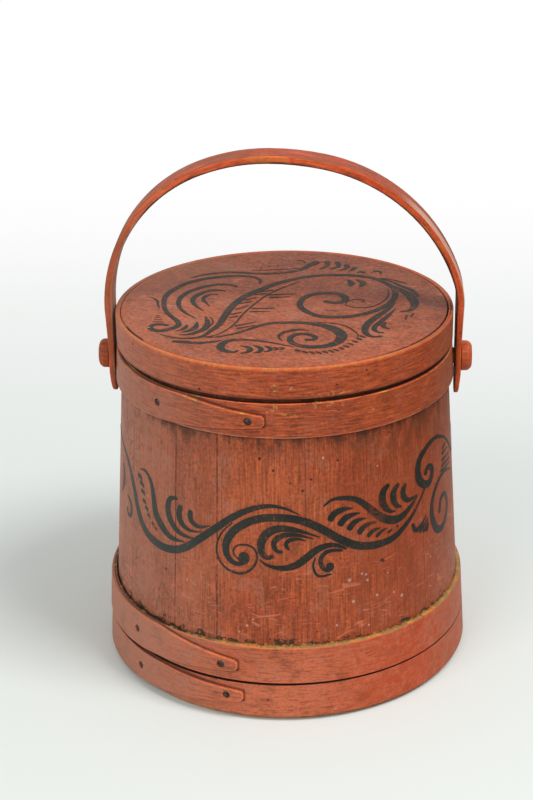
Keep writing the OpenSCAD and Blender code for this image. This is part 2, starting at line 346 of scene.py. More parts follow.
def makeStave(number):
    start, end = wall["seams"][number], wall["seams"][number + 1]
    slack = math.degrees(wall["gap"] * luck.uniform(*wall["gapSpread"]) / 2 / wall["footR"])
    foot = luck.uniform(*wall["footSpread"]) * mm
    proud = luck.uniform(*wall["proudSpread"]) * mm
    count = math.ceil((end - start) / wall["step"])
    turns = [start + slack + (end - start - 2 * slack) * i / count for i in range(count + 1)]
    sections = [[polar(r, turn, z) for r, z in staveOutline(foot, proud)] for turn in turns]
    stave = pullStrip("paintedStave%02d" % (number + 1), sections)
    roundEdges(stave, wall["round"], 2)
    smoothOff(stave)
    markFlat(stave, (start + end) / 2)
    return stave


staves = [makeStave(i) for i in range(len(wall["seams"]) - 1)]
print("staves made:", len(staves))

hoopShape = {"thick": 3.2 * mm, "seat": 0.1 * mm, "fingerThick": 2.3 * mm, "fingerGap": 0.25 * mm,
             "span": 82, "taper": 28, "taperLow": 46, "tipHeight": 7 * mm, "inset": 0.4 * mm,
             "round": 0.5 * mm, "edge": 1.0 * mm, "step": 2.5, "nailBack": (5.2, 38.5, 74),
             "leftAt": 190, "startThick": 1.1 * mm, "tuck": 10, "curve": 1.4, "corner": 0.85,
             "tipTurns": (358, 359.15, 359.55, 360), "holeR": 2.6 * mm, "holeDepth": 1.5 * mm}
hoops = {"upper": {"low": 197.1 * mm, "high": 219.7 * mm, "tip": -93.7, "tipUp": 8 * mm,
                   "lift": 0.0, "stand": 0.0},
         "middle": {"low": 27.3 * mm, "high": 52.6 * mm, "tip": -102.5, "tipUp": 8.0 * mm,
                    "lift": 0.6 * mm, "stand": 0.7 * mm},
         "base": {"low": 3.0 * mm, "high": 26.0 * mm, "tip": -100.7, "tipUp": 10.8 * mm,
                  "lift": -0.2 * mm, "stand": 0.0}}


def fingerRise(back):  # 1 at the tip of the finger and 0 where it leaves the hoop
    lead = 90 - hoopShape["span"]
    return max(0.0, math.cos(math.radians(lead + back)) / math.cos(math.radians(lead)))


def hoopShift(hoop, angle):  # a hoop sits a little higher, and off the wall, on the left
    left = math.cos(math.radians(angle - hoopShape["leftAt"]))
    return hoop["lift"] * left, hoop["stand"] * max(0.0, left) ** 2


def hoopSection(hoop, angle, inner, thick, low, high):
    dz, off = hoopShift(hoop, angle)
    edge = min(hoopShape["edge"], (high - low) * 0.3)
    return [polar(wallR(z) + inner + t + off, angle, z + dz)
            for z, t in ((low, 0), (low, thick), (low + edge, thick), (high - edge, thick),
                         (high, thick), (high, 0))]


def makeHoop(label, hoop):
    s = hoopShape
    tip, sections = hoop["tip"], []
    turns = [tip - s["span"] + s["step"] * i for i in range(int((s["span"] + 360) / s["step"]))]
    ends = [tip + t for t in s["tipTurns"]]
    turns = [t for t in turns if t < ends[0]] + ends
    for turn in turns:
        low, high, inner, thick = hoop["low"], hoop["high"], s["seat"], s["thick"]
        if turn < tip:  # the start lies under the finger and thins out
            thick = max(s["startThick"], s["thick"] * fingerRise(tip - turn))
        back = tip + 360 - turn
        if back < s["span"]:  # the finger rides over the start
            rise, tuck = fingerRise(back), min(1.0, (s["span"] - back) / s["tuck"])
            inner = s["seat"] + (s["thick"] + s["fingerGap"]) * rise
            thick = s["thick"] + (s["fingerThick"] - s["thick"]) * rise
            taper = max(0.0, 1 - back / s["taper"])
            under = max(0.0, 1 - back / s["taperLow"]) ** s["curve"]
            corner = s["tipHeight"] / 4 * max(0.0, 1 - back / s["corner"])
            tipLow = hoop["low"] + hoop["tipUp"]
            low += s["inset"] * tuck
            high -= s["inset"] * tuck
            low += (tipLow - low) * under + corner
            high += (tipLow + s["tipHeight"] - high) * taper - corner
        sections.append(hoopSection(hoop, turn, inner, thick, low, high))
    piece = pullStrip(label + "Hoop", sections)
    roundEdges(piece, s["round"], 3, 38, 0.3)
    cutHoles(piece, nailSpots(hoop), s["holeR"], s["holeDepth"])
    smoothOff(piece)
    markFlat(piece, -90)
    return piece


def nailSpots(hoop):
    s, spots = hoopShape, []
    for i, back in enumerate(s["nailBack"]):
        angle = hoop["tip"] - back
        z = (hoop["low"] + hoop["high"]) / 2
        if i == 0:
            z = hoop["low"] + hoop["tipUp"] + s["tipHeight"] / 2
        dz, off = hoopShift(hoop, angle)
        rise = fingerRise(back)
        out = s["seat"] + s["thick"] + (s["fingerThick"] + s["fingerGap"]) * rise + off
        spots.append((polar(wallR(z) + out, angle, z + dz),
                      polar(1, angle, wall["lean"]).normalized()))
    return spots


hoopPieces = {label: makeHoop(label, hoop) for label, hoop in hoops.items()}
print("hoops made:", len(hoopPieces))

nail = {"headR": 2.3 * mm, "headThick": 0.5 * mm, "sunk": 1.2 * mm, "dome": 0.3 * mm,
        "shankR": 1.1 * mm, "length": 3.0 * mm, "cuts": 20,
        "rings": ((0.30, 0.5), (0.35, 0.35), (0.4, 0.15))}


def makeNail(name, spot, out, headR, sunk):
    bpy.ops.mesh.primitive_cylinder_add(vertices=nail["cuts"], radius=headR,
                                        depth=nail["headThick"])
    piece = nameIt(name)
    bpy.ops.object.mode_set(mode="EDIT")
    pickFaces(piece, lambda up: up > 0.9)
    for share, lift in nail["rings"]:  # a domed head, ring by ring
        bpy.ops.mesh.inset(thickness=headR * share)
        bpy.ops.transform.translate(value=(0, 0, nail["dome"] * lift))
    pickFaces(piece, lambda up: up < -0.9)
    bpy.ops.mesh.inset(thickness=headR - nail["shankR"] * headR / nail["headR"])
    bpy.ops.mesh.extrude_region_move(TRANSFORM_OT_translate={"value": (0, 0, -nail["length"])})
    bpy.ops.object.mode_set(mode="OBJECT")
    aim = out.to_track_quat("Z", "Y").to_matrix().to_4x4()
    spin = Matrix.Translation(spot - out * (sunk + nail["headThick"] / 2)) @ aim
    piece.data.transform(spin @ Matrix.Rotation(luck.uniform(0, 6), 4, "Z"))
    return piece


nailPieces = {}
for label, hoop in hoops.items():
    group = [makeNail("nail", spot, out, nail["headR"], nail["sunk"])
             for spot, out in nailSpots(hoop)]
    nailPieces[label] = joinAll(group, label + "HoopNails")
    smoothOff(nailPieces[label])
print("nails made")

lid = {"low": 234.2 * mm, "top": 242.7 * mm, "rimLow": 222.7 * mm, "rimIn": 108.49 * mm,
       "rimOut": 111.49 * mm, "boardR": 108.3 * mm, "cuts": 144, "rings": (2.4 * mm, 30 * mm),
       "boardRound": 0.7 * mm, "shrunk": 0.003, "aside": 0.15 * mm, "rimRound": 0.5 * mm,
       "scarf": (-40, 30), "scarfGap": 0.3 * mm, "feather": 1.1 * mm, "proud": 0.15 * mm,
       "rimEdge": 1.1 * mm, "step": 2.5, "brads": 8, "firstBrad": -147, "bradR": 1.1 * mm,
       "bradHole": 0.6 * mm, "bradSunk": 0.3 * mm}


def makeLidBoard():
    bpy.ops.mesh.primitive_cylinder_add(vertices=lid["cuts"], radius=lid["boardR"],
                                        depth=lid["top"] - lid["low"],
                                        location=(-lid["aside"], 0, (lid["top"] + lid["low"]) / 2))
    bpy.ops.transform.resize(value=(1 - lid["shrunk"], 1, 1))
    bpy.ops.object.transform_apply()
    board = nameIt("lidBoard")
    bpy.ops.object.mode_set(mode="EDIT")
    pickFaces(board, lambda up: abs(up) > 0.9)
    for ring in lid["rings"]:
        bpy.ops.mesh.inset(thickness=ring, use_individual=True)
    bpy.ops.object.mode_set(mode="OBJECT")
    roundEdges(board, lid["boardRound"], 3, 32, 0.3)
    smoothOff(board)
    return board


def makeLidRim():
    first, last = lid["scarf"]
    span = last - first
    sections = []
    count = math.ceil((360 + span) / lid["step"])
    for i in range(count + 1):
        turn = first + (360 + span) * i / count
        inner, outer = lid["rimIn"], lid["rimOut"]
        full = outer - inner
        if turn < last:  # the inner end thickens from nothing
            outer = inner + max(lid["feather"], full * (turn - first) / span - lid["scarfGap"] / 2)
        elif turn > first + 360:  # the outer end thins to nothing over it
            inner = min(outer - lid["feather"],
                        inner + full * (turn - 360 - first) / span + lid["scarfGap"] / 2)
            outer += lid["proud"] * (turn - 360 - first) / span
        low, high, edge = lid["rimLow"], lid["top"], lid["rimEdge"]
        sections.append([polar(r, turn, z)
                         for r, z in ((inner, low), (outer, low), (outer, low + edge),
                                      (outer, high - edge), (outer, high), (inner, high))])
    rim = pullStrip("lidRim", sections)
    roundEdges(rim, lid["rimRound"], 3, 38, 0.3)
    cutHoles(rim, bradSpots(), lid["bradR"] * 1.1, lid["bradHole"])
    smoothOff(rim)
    markFlat(rim, -90)
    return rim


def bradSpots():
    z = (lid["low"] + lid["top"]) / 2
    angles = [lid["firstBrad"] + 360 * i / lid["brads"] for i in range(lid["brads"])]
    return [(polar(lid["rimOut"], a, z), polar(1, a, 0)) for a in angles]


lidBoard, lidRim = makeLidBoard(), makeLidRim()
lidBrads = joinAll([makeNail("brad", spot, out, lid["bradR"], lid["bradSunk"])
                    for spot, out in bradSpots()], "lidBrads")
smoothOff(lidBrads)
print("lid made")

grip = {"legX": 113.16 * mm, "crownLeft": 9.5 * mm, "crownLow": 341.6 * mm, "thick": 5.2 * mm,
        "earThick": 4 * mm, "endThick": 2.6 * mm, "earEnd": 181.6 * mm, "earHalf": 10.5 * mm,
        "crownHalf": 10.25 * mm, "narrow": 280.5 * mm, "pegZ": 207.6 * mm, "hole": 5.8 * mm,
        "holeOut": 2 * mm, "holeDepth": 12 * mm, "earReach": 10 * mm,
        "earTurns": (10, 22, 35, 50, 65, 80, 90), "round": 0.9 * mm, "edge": 2.2 * mm,
        "bendStep": 3.0, "right": ((49 * mm, 18.5), (114 * mm, 59.5)),
        "left": ((103 * mm, 21), (93 * mm, 48.5))}


# inner face of one side from the leg's top to the crown: run in from the leg, rise, turn
def sidePath(bends, span):
    (kneeR, knee), (shoulderR, shoulder) = bends
    turned = math.radians(knee + shoulder)
    k = math.radians(knee)
    past = kneeR * (1 - math.cos(k)) + shoulderR * (math.cos(k) - math.cos(turned))
    crownR = (span - past) / math.cos(turned)
    run = rise = turn = 0.0
    path = [(0.0, 0.0, 0.0)]
    for radius, sweep in ((kneeR, knee), (shoulderR, shoulder), (crownR, 90 - knee - shoulder)):
        count = math.ceil(sweep / grip["bendStep"])
        for i in range(1, count + 1):
            a, b = math.radians(turn), math.radians(turn + sweep * i / count)
            path.append((run + radius * (math.cos(a) - math.cos(b)),
                         rise + radius * (math.sin(b) - math.sin(a)), turn + sweep * i / count))
        run, rise, turn = path[-1]
    return path


def gripHalf(z):
    g = grip
    fromEnd = z - g["earEnd"]
    if fromEnd < g["earHalf"]:
        return math.sqrt(max(0.0, g["earHalf"] ** 2 - (g["earHalf"] - fromEnd) ** 2))
    wide = g["pegZ"] + g["earReach"]
    share = min(1.0, max(0.0, (z - wide) / (g["narrow"] - wide)))
    return g["earHalf"] + (g["crownHalf"] - g["earHalf"]) * share


def gripThick(z, legTop):
    g = grip
    low, high = g["pegZ"] - g["earReach"], g["pegZ"] + g["earReach"]
    if z < low:
        share = (z - g["earEnd"]) / (low - g["earEnd"])
        return g["endThick"] + (g["earThick"] - g["endThick"]) * share
    share = min(1.0, max(0.0, (z - high) / (legTop - high)))
    return g["earThick"] + (g["thick"] - g["earThick"]) * share


def sideSections(bends, span, side):  # from the end of the ear up to the crown
    g = grip
    path = sidePath(bends, span)
    legTop = g["crownLow"] - path[-1][1]
    heights = [g["earEnd"] + g["earHalf"] * (1 - math.cos(math.radians(a))) for a in g["earTurns"]]
    heights += [g["pegZ"] + g["earReach"] * i for i in (-1, 0, 1, 2)] + [legTop - g["earReach"]]
    rows = [(0.0, z, 0.0) for z in heights] + [(run, legTop + rise, turn)
                                               for run, rise, turn in path]
    sections = []
    for run, z, turn in rows:
        out = Vector((math.cos(math.radians(turn)), 0, math.sin(math.radians(turn))))
        inner = Vector((span - run, 0, z))
        thick, half = gripThick(z, legTop), gripHalf(z)
        corners = []
        edge = half - min(g["edge"], half * 0.7)
        for depth, y in ((0, -half), (thick, -half), (thick, -edge), (thick, edge), (thick, half),
                         (0, half), (0, edge), (0, -edge)):
            spot = inner + out * depth
            corners.append(Vector((side * spot.x - g["crownLeft"], y, spot.z)))
        sections.append(corners)
    return sections


def markAlong(piece, sections):  # how far along the strip each point lies, for the grain
    middles = [sum(s, Vector()) / len(s) for s in sections]
    outward = [((s[1] + s[4]) - (s[0] + s[5])).normalized() for s in sections]
    reach = [0.0]
    for a, b in zip(middles, middles[1:]):
        reach.append(reach[-1] + (b - a).length)
    along = piece.data.attributes.new("alongStrip", "FLOAT_VECTOR", "POINT")
    values = []
    for v in piece.data.vertices:
        i = min(range(len(middles)), key=lambda n: (middles[n] - v.co).length_squared)
        axis = (middles[min(i + 1, len(middles) - 1)] - middles[max(i - 1, 0)]).normalized()
        offset = v.co - middles[i]
        values += [reach[i] + offset.dot(axis), v.co.y, offset.dot(outward[i])]
    along.data.foreach_set("vector", values)


def makeHandle():
    right = sideSections(grip["right"], grip["legX"] + grip["crownLeft"], 1)
    left = sideSections(grip["left"], grip["legX"] - grip["crownLeft"], -1)
    sections = right + left[::-1][1:]
    piece = pullStrip("bentHandle", sections)
    roundEdges(piece, grip["round"], 3, 38, 0.5)
    markAlong(piece, sections)
    cutHoles(piece, [(Vector((side * (grip["legX"] + grip["holeOut"]), 0, grip["pegZ"])),
                      Vector((side, 0, 0))) for side in (1, -1)], grip["hole"], grip["holeDepth"])
    smoothOff(piece)
    return piece


peg = {"inner": 98.8 * mm, "seat": 117.46 * mm, "end": 124.46 * mm, "shankR": 5.5 * mm,
       "headR": 10 * mm, "chamfer": 2.6 * mm, "cuts": 14, "rough": 0.028, "round": 0.7 * mm,
       "faceIn": 3 * mm, "faceUp": 0.2 * mm}


def makePeg(name, side):
    bpy.ops.mesh.primitive_circle_add(vertices=peg["cuts"], radius=peg["shankR"], fill_type="NGON",
                                      location=(0, 0, peg["inner"]))
    bpy.ops.object.transform_apply()
    piece = nameIt(name)
    bpy.ops.object.mode_set(mode="EDIT")
    steps = ((peg["seat"] - peg["inner"], 1.0), (0.0, peg["headR"] / peg["shankR"]),
             (peg["end"] - peg["chamfer"] - peg["seat"], 0.985), (peg["chamfer"] * 0.75, 0.84),
             (peg["chamfer"] * 0.25, 0.82))
    for rise, grow in steps:
        bpy.ops.mesh.extrude_region_move(TRANSFORM_OT_translate={"value": (0, 0, rise)})
        bpy.ops.transform.resize(value=(grow, grow, 1))
    bpy.ops.mesh.inset(thickness=peg["faceIn"])
    bpy.ops.transform.translate(value=(0, 0, peg["faceUp"]))
    faceOut()
    swell = [1 + luck.uniform(-peg["rough"], peg["rough"]) for _ in range(peg["cuts"])]
    for v in piece.data.vertices:  # whittled by hand, so no two cuts are the same
        if math.hypot(v.co.x, v.co.y) > peg["shankR"] * 1.1:
            cut = round(math.atan2(v.co.y, v.co.x) / math.tau * peg["cuts"]) % peg["cuts"]
            v.co.x *= swell[cut]
            v.co.y *= swell[cut]
    piece.data.transform(Matrix.Translation((0, 0, grip["pegZ"]))
                         @ Matrix.Rotation(side * math.pi / 2, 4, "Y")
                         @ Matrix.Rotation(luck.uniform(0, 3), 4, "Z"))
    roundEdges(piece, peg["round"], 2, 24, 0.2)
    smoothOff(piece, 50)
    return piece


handle = makeHandle()
pegs = {"left": makePeg("whittledPegLeft", -1), "right": makePeg("whittledPegRight", 1)}
print("handle and pegs made")

brush = {"perDegree": 1.98 * mm, "film": 0.1 * mm, "wallLift": 0.09 * mm, "lidLift": 0.08 * mm,
         "slit": 0.16 * mm, "press": 1.16, "lidPress": 1.28, "resolution": 7, "layers": 11,
         "layer": 0.006 * mm, "dot": 0.05 * mm, "weld": 0.001 * mm, "broad": 0.9 * mm,
         "caps": ((0.26, 0.86), (0.42, 0.54), (0.5, 0.05))}

# each stroke: widths in mm spread over its length, then its points, on the wall (degrees, mm up)
# and on the lid (mm, mm); the last ones are rows of short dabs
wallStrokes = (
    ((0.5, 1.2, 1.8, 1.5, 1.0), (-184.2, 142.6), (-181.5, 150), (-177.5, 156.5), (-172.5, 160.2),
     (-167, 159.5)),
    ((1.0, 2.4, 3.6, 4.2, 4.6, 4.8, 4.6, 4.3, 4.2, 4.0, 3.4, 2.0, 0.3), (-168, 160), (-160, 155),
     (-154.4, 148.7), (-149, 134), (-146.2, 123), (-141.4, 111.8), (-135, 107.2), (-127, 107.9),
     (-121.6, 112.9), (-116.5, 121.2), (-110.4, 131.5), (-104.5, 141), (-98.8, 147.4),
     (-93.7, 150.3), (-89.2, 149.8), (-84.1, 145.7), (-82.6, 144)),
    ((0.6, 2.4, 3.4, 4.7, 4.8, 3.4, 0.5), (-145, 152.4), (-141, 153), (-138.2, 148),
     (-136.4, 136.5), (-135.3, 128.1), (-132.2, 121), (-128.4, 116.3), (-122, 116)),
    ((1.5, 3.4, 4.2, 4.2, 3.2, 1.8, 0.4), (-125.5, 144.5), (-128, 143.5), (-129.3, 138.5),
     (-128.7, 130), (-126, 123.4), (-122.4, 120.6), (-117.5, 120.8)),
    ((3.2, 4.0, 3.6, 2.4, 1.2, 0.4), (-124, 139.5), (-124.5, 134.5), (-123.8, 129.8),
     (-121.5, 126.3), (-118.3, 125.6), (-115.7, 126.7)),
    ((3.2, 3.4, 2.6, 1.4, 0.4), (-119.9, 138.3), (-119.9, 134.5), (-118.9, 131.5), (-117, 129.9),
     (-112.3, 132.3)),
    ((2.2, 4.0, 4.6, 4.6, 4.4, 4.5, 4.6, 4.6, 4.6, 4.4, 4.0, 2.8, 1.4, 0.4), (-101.4, 109.6),
     (-103.6, 109.2), (-105.9, 112.2), (-106.9, 120.2), (-105.2, 129.1), (-101.5, 136.2),
     (-96.3, 141.3), (-90.2, 142.7), (-83.5, 141), (-78.7, 137), (-74.2, 131.2), (-68.9, 123.7),
     (-64.5, 118.9), (-59.9, 116.4), (-55, 115.6), (-50.1, 116.8), (-44.9, 121.9), (-40.3, 128.5),
     (-36.7, 135.4), (-34.5, 140.8), (-33.2, 144.5)),
    ((7.3,), (-100.9, 113.6)),
    ((0.7, 1.0, 1.1, 1.2, 1.5, 1.3, 1.1, 0.9, 0.7), (-104.7, 137.1), (-107.5, 131.3),
     (-109.3, 125.4), (-110.1, 118.4), (-109.6, 111.9), (-107.8, 106.5), (-105.2, 103.4),
     (-102, 102.6), (-99.2, 105.2), (-97.3, 109.9), (-96.7, 115.4), (-97.3, 119.9), (-99.2, 122.6),
     (-101.3, 122.8), (-103.3, 121.3), (-104.4, 118.3), (-104.1, 115.1), (-102.9, 112.7),
     (-101.7, 110.7)),
    ((2.0, 3.6, 4.8, 4.8, 4.0, 2.6, 1.4, 0.5), (-91.8, 115.9), (-93.3, 115), (-94.7, 116.9),
     (-95.4, 122.2), (-94.8, 127.5), (-93, 132.3), (-90.2, 135), (-85.6, 134.7), (-81.1, 132),
     (-76.5, 128.1)),
    ((1.6, 2.8, 3.3, 3.0, 2.2, 1.4, 0.4), (-88.8, 119.2), (-90.1, 119.6), (-91.2, 122.9),
     (-90.8, 127.2), (-89, 130), (-85.7, 131.1), (-82.3, 129.9), (-78.5, 127.2)),
    ((1.6, 2.6, 2.4, 1.4, 0.5), (-86.6, 121.1), (-87.3, 123.3), (-86.9, 126.2), (-85.1, 127.8),
     (-82.9, 127.6), (-81.1, 126.4)),
    ((0.5, 1.8, 3.0, 4.2, 4.5, 4.4, 3.4, 2.4, 1.2), (-95.9, 113.5), (-94, 110.4), (-91.5, 108.6),
     (-87.9, 108), (-84.3, 109.9), (-81.2, 114.2), (-78.1, 119), (-75, 121.5), (-71.8, 121.5),
     (-68, 117.9)),
    ((1.2, 2.2, 2.5, 2.4, 2.2), (-69.3, 117), (-72.5, 118), (-75, 116.7), (-76.3, 113.3),
     (-76.3, 109.3), (-75.4, 105.8), (-73.9, 104.4)),
    ((5.2,), (-73.4, 106.9)),
    ((0.6, 1.2, 1.4, 1.4, 0.9), (-78.1, 114.4), (-78.8, 109.8), (-78.5, 105.1), (-77.3, 101.5),
     (-75.5, 101), (-73, 101.8)),
    ((0.8, 2.4, 3.2, 4.1, 4.7, 4.7, 3.6, 0.8), (-75.2, 149.1), (-72.4, 152.7), (-68.5, 152.8),
     (-64.2, 150.3), (-60.1, 143.6), (-56.6, 136.6), (-52.9, 131.2), (-49.8, 128.9),
     (-46.4, 129.2), (-42.3, 133.1), (-38.7, 138.1)),
    ((4.0, 3.8, 2.6, 0.5), (-72.9, 140.1), (-71.5, 143.3), (-68.9, 145.1), (-65.3, 144.8)),
    ((4.0, 3.8, 2.4, 0.5), (-69.6, 135.8), (-68, 138.9), (-65.6, 140.4), (-62.9, 140.6)),
    ((3.8, 3.4, 2.0, 0.5), (-66.6, 131.8), (-65, 134.8), (-63, 136), (-60.6, 135.9)),
    ((3.6, 3.2, 1.8, 0.5), (-63.1, 127.7), (-61.3, 130.6), (-59.2, 131.6), (-57, 131.5)),
    ((2.8, 2.2, 0.5), (-59.9, 123.8), (-58.2, 126), (-55.4, 126.6)),
    ((2.4, 1.8, 0.5), (-56.7, 121.8), (-54.9, 124), (-53, 124.9)),
    ((1.9, 0.7), (-52.1, 121.7), (-50.6, 122.8)),
    ((1.4,), (-48.5, 123.5)),
    ((2.8, 4.6, 4.8, 4.0, 2.4, 0.6), (-52.1, 154), (-53.8, 151), (-54.4, 146), (-53.5, 140.3),
     (-51.6, 136.2), (-49.1, 134.3)),
    ((2.8, 4.2, 4.2, 3.0, 0.6), (-47.9, 151.9), (-49.6, 148.6), (-49.8, 143.4), (-48.6, 138.3),
     (-46.2, 135.8)),
    ((2.6, 4.0, 3.8, 2.8, 1.6, 0.5), (-44.6, 149.8), (-45.6, 146.1), (-45.1, 141.7),
     (-43.1, 138.4), (-40.7, 138.4), (-38.6, 138.9)),
    ((0.8, 1.2, 1.4, 1.4, 1.5, 1.8, 2.4, 3.2, 3.9, 4.7, 5.2, 4.7, 4.2, 3.8, 3.0), (-4.7, 141.7),
     (-8.8, 147.8), (-13.3, 156.3), (-18.1, 163.6), (-22, 167.4), (-25.8, 169.6), (-30, 169.2),
     (-34.2, 166.1), (-36.9, 162), (-38, 155.8), (-37.6, 149.5), (-36, 145.2), (-33.8, 142.6),
     (-31.4, 142.4), (-30, 145), (-29.4, 148.4), (-30, 151.8), (-31.6, 153.4), (-33, 152.4),
     (-33.6, 150.2)),
    ((2.2, 1.8, 0.6), (-20, 157.2), (-16.5, 158.8)),
    ((2.2, 2.0, 0.6), (-20.4, 153.8), (-14.8, 153.6)),
    ((2.2, 2.0, 0.6), (-20.8, 149.3), (-12.6, 148)),
    ((2.2, 2.0, 0.6), (-21.2, 145.6), (-11.6, 143.6)),
    ((2.0, 1.8, 0.6), (-22.2, 142.8), (-12, 140.4)),
    ((0.9, 2.0, 2.2, 2.9, 3.8, 4.7, 4.7, 3.5, 3.1, 3.1, 2.7), (-10.7, 134.6), (-19.3, 139.8),
     (-24.9, 137.8), (-28.9, 130.9), (-30.6, 121.9), (-29.6, 112), (-26.7, 104.1), (-22.6, 102.9),
     (-18.9, 107.9), (-17.3, 115.6), (-19.9, 124), (-23.3, 123.2), (-24.9, 115.5)),
    ((2.4, 3.0, 2.0, 0.5), (-41.4, 119.4), (-40, 114.7), (-37.7, 115.3), (-35.5, 118.4),
     (-34, 121.3)),
    ((2.4, 1.9, 0.5), (-37.7, 112.2), (-35, 115.2), (-33.4, 119.1)),
    ((2.2, 1.8, 0.5), (-35.7, 110.6), (-33.8, 113.5), (-33.1, 117.4)),
    ((2.2, 1.6, 0.5), (-33.9, 109.8), (-32.6, 114.2)),
    ((0.9, 0.9), (-34.3, 140), (-36.5, 135.6)),
    ((1.6, 4.4, 4.4, 1.4), (-161.1, 142.3), (-159.8, 137.6), (-160, 130.8), (-162, 122.4)),
    ((0.8, 2.2, 2.8, 2.6, 2.0, 1.4), (-155.3, 124.6), (-152.5, 123.2), (-151.3, 118.3),
     (-152.3, 112.2), (-154.3, 112.3), (-155.1, 115.9)),
) + tuple(
    ((3.0 - 0.24 * i, 2.5 - 0.2 * i, 0.5), (x - 1.1 + 0.1 * i, z + 0.9),
     (x + 0.4 - 0.05 * i, z + 0.1), (x + 0.9 - 0.1 * i, z - 1.7 + 0.12 * i))
    for i, (x, z) in enumerate(((-144.6, 146.3), (-143.3, 142.1), (-142.6, 137), (-141.6, 131),
     (-140.2, 127), (-138.9, 122.9), (-136.7, 118.8), (-135, 116.5))))

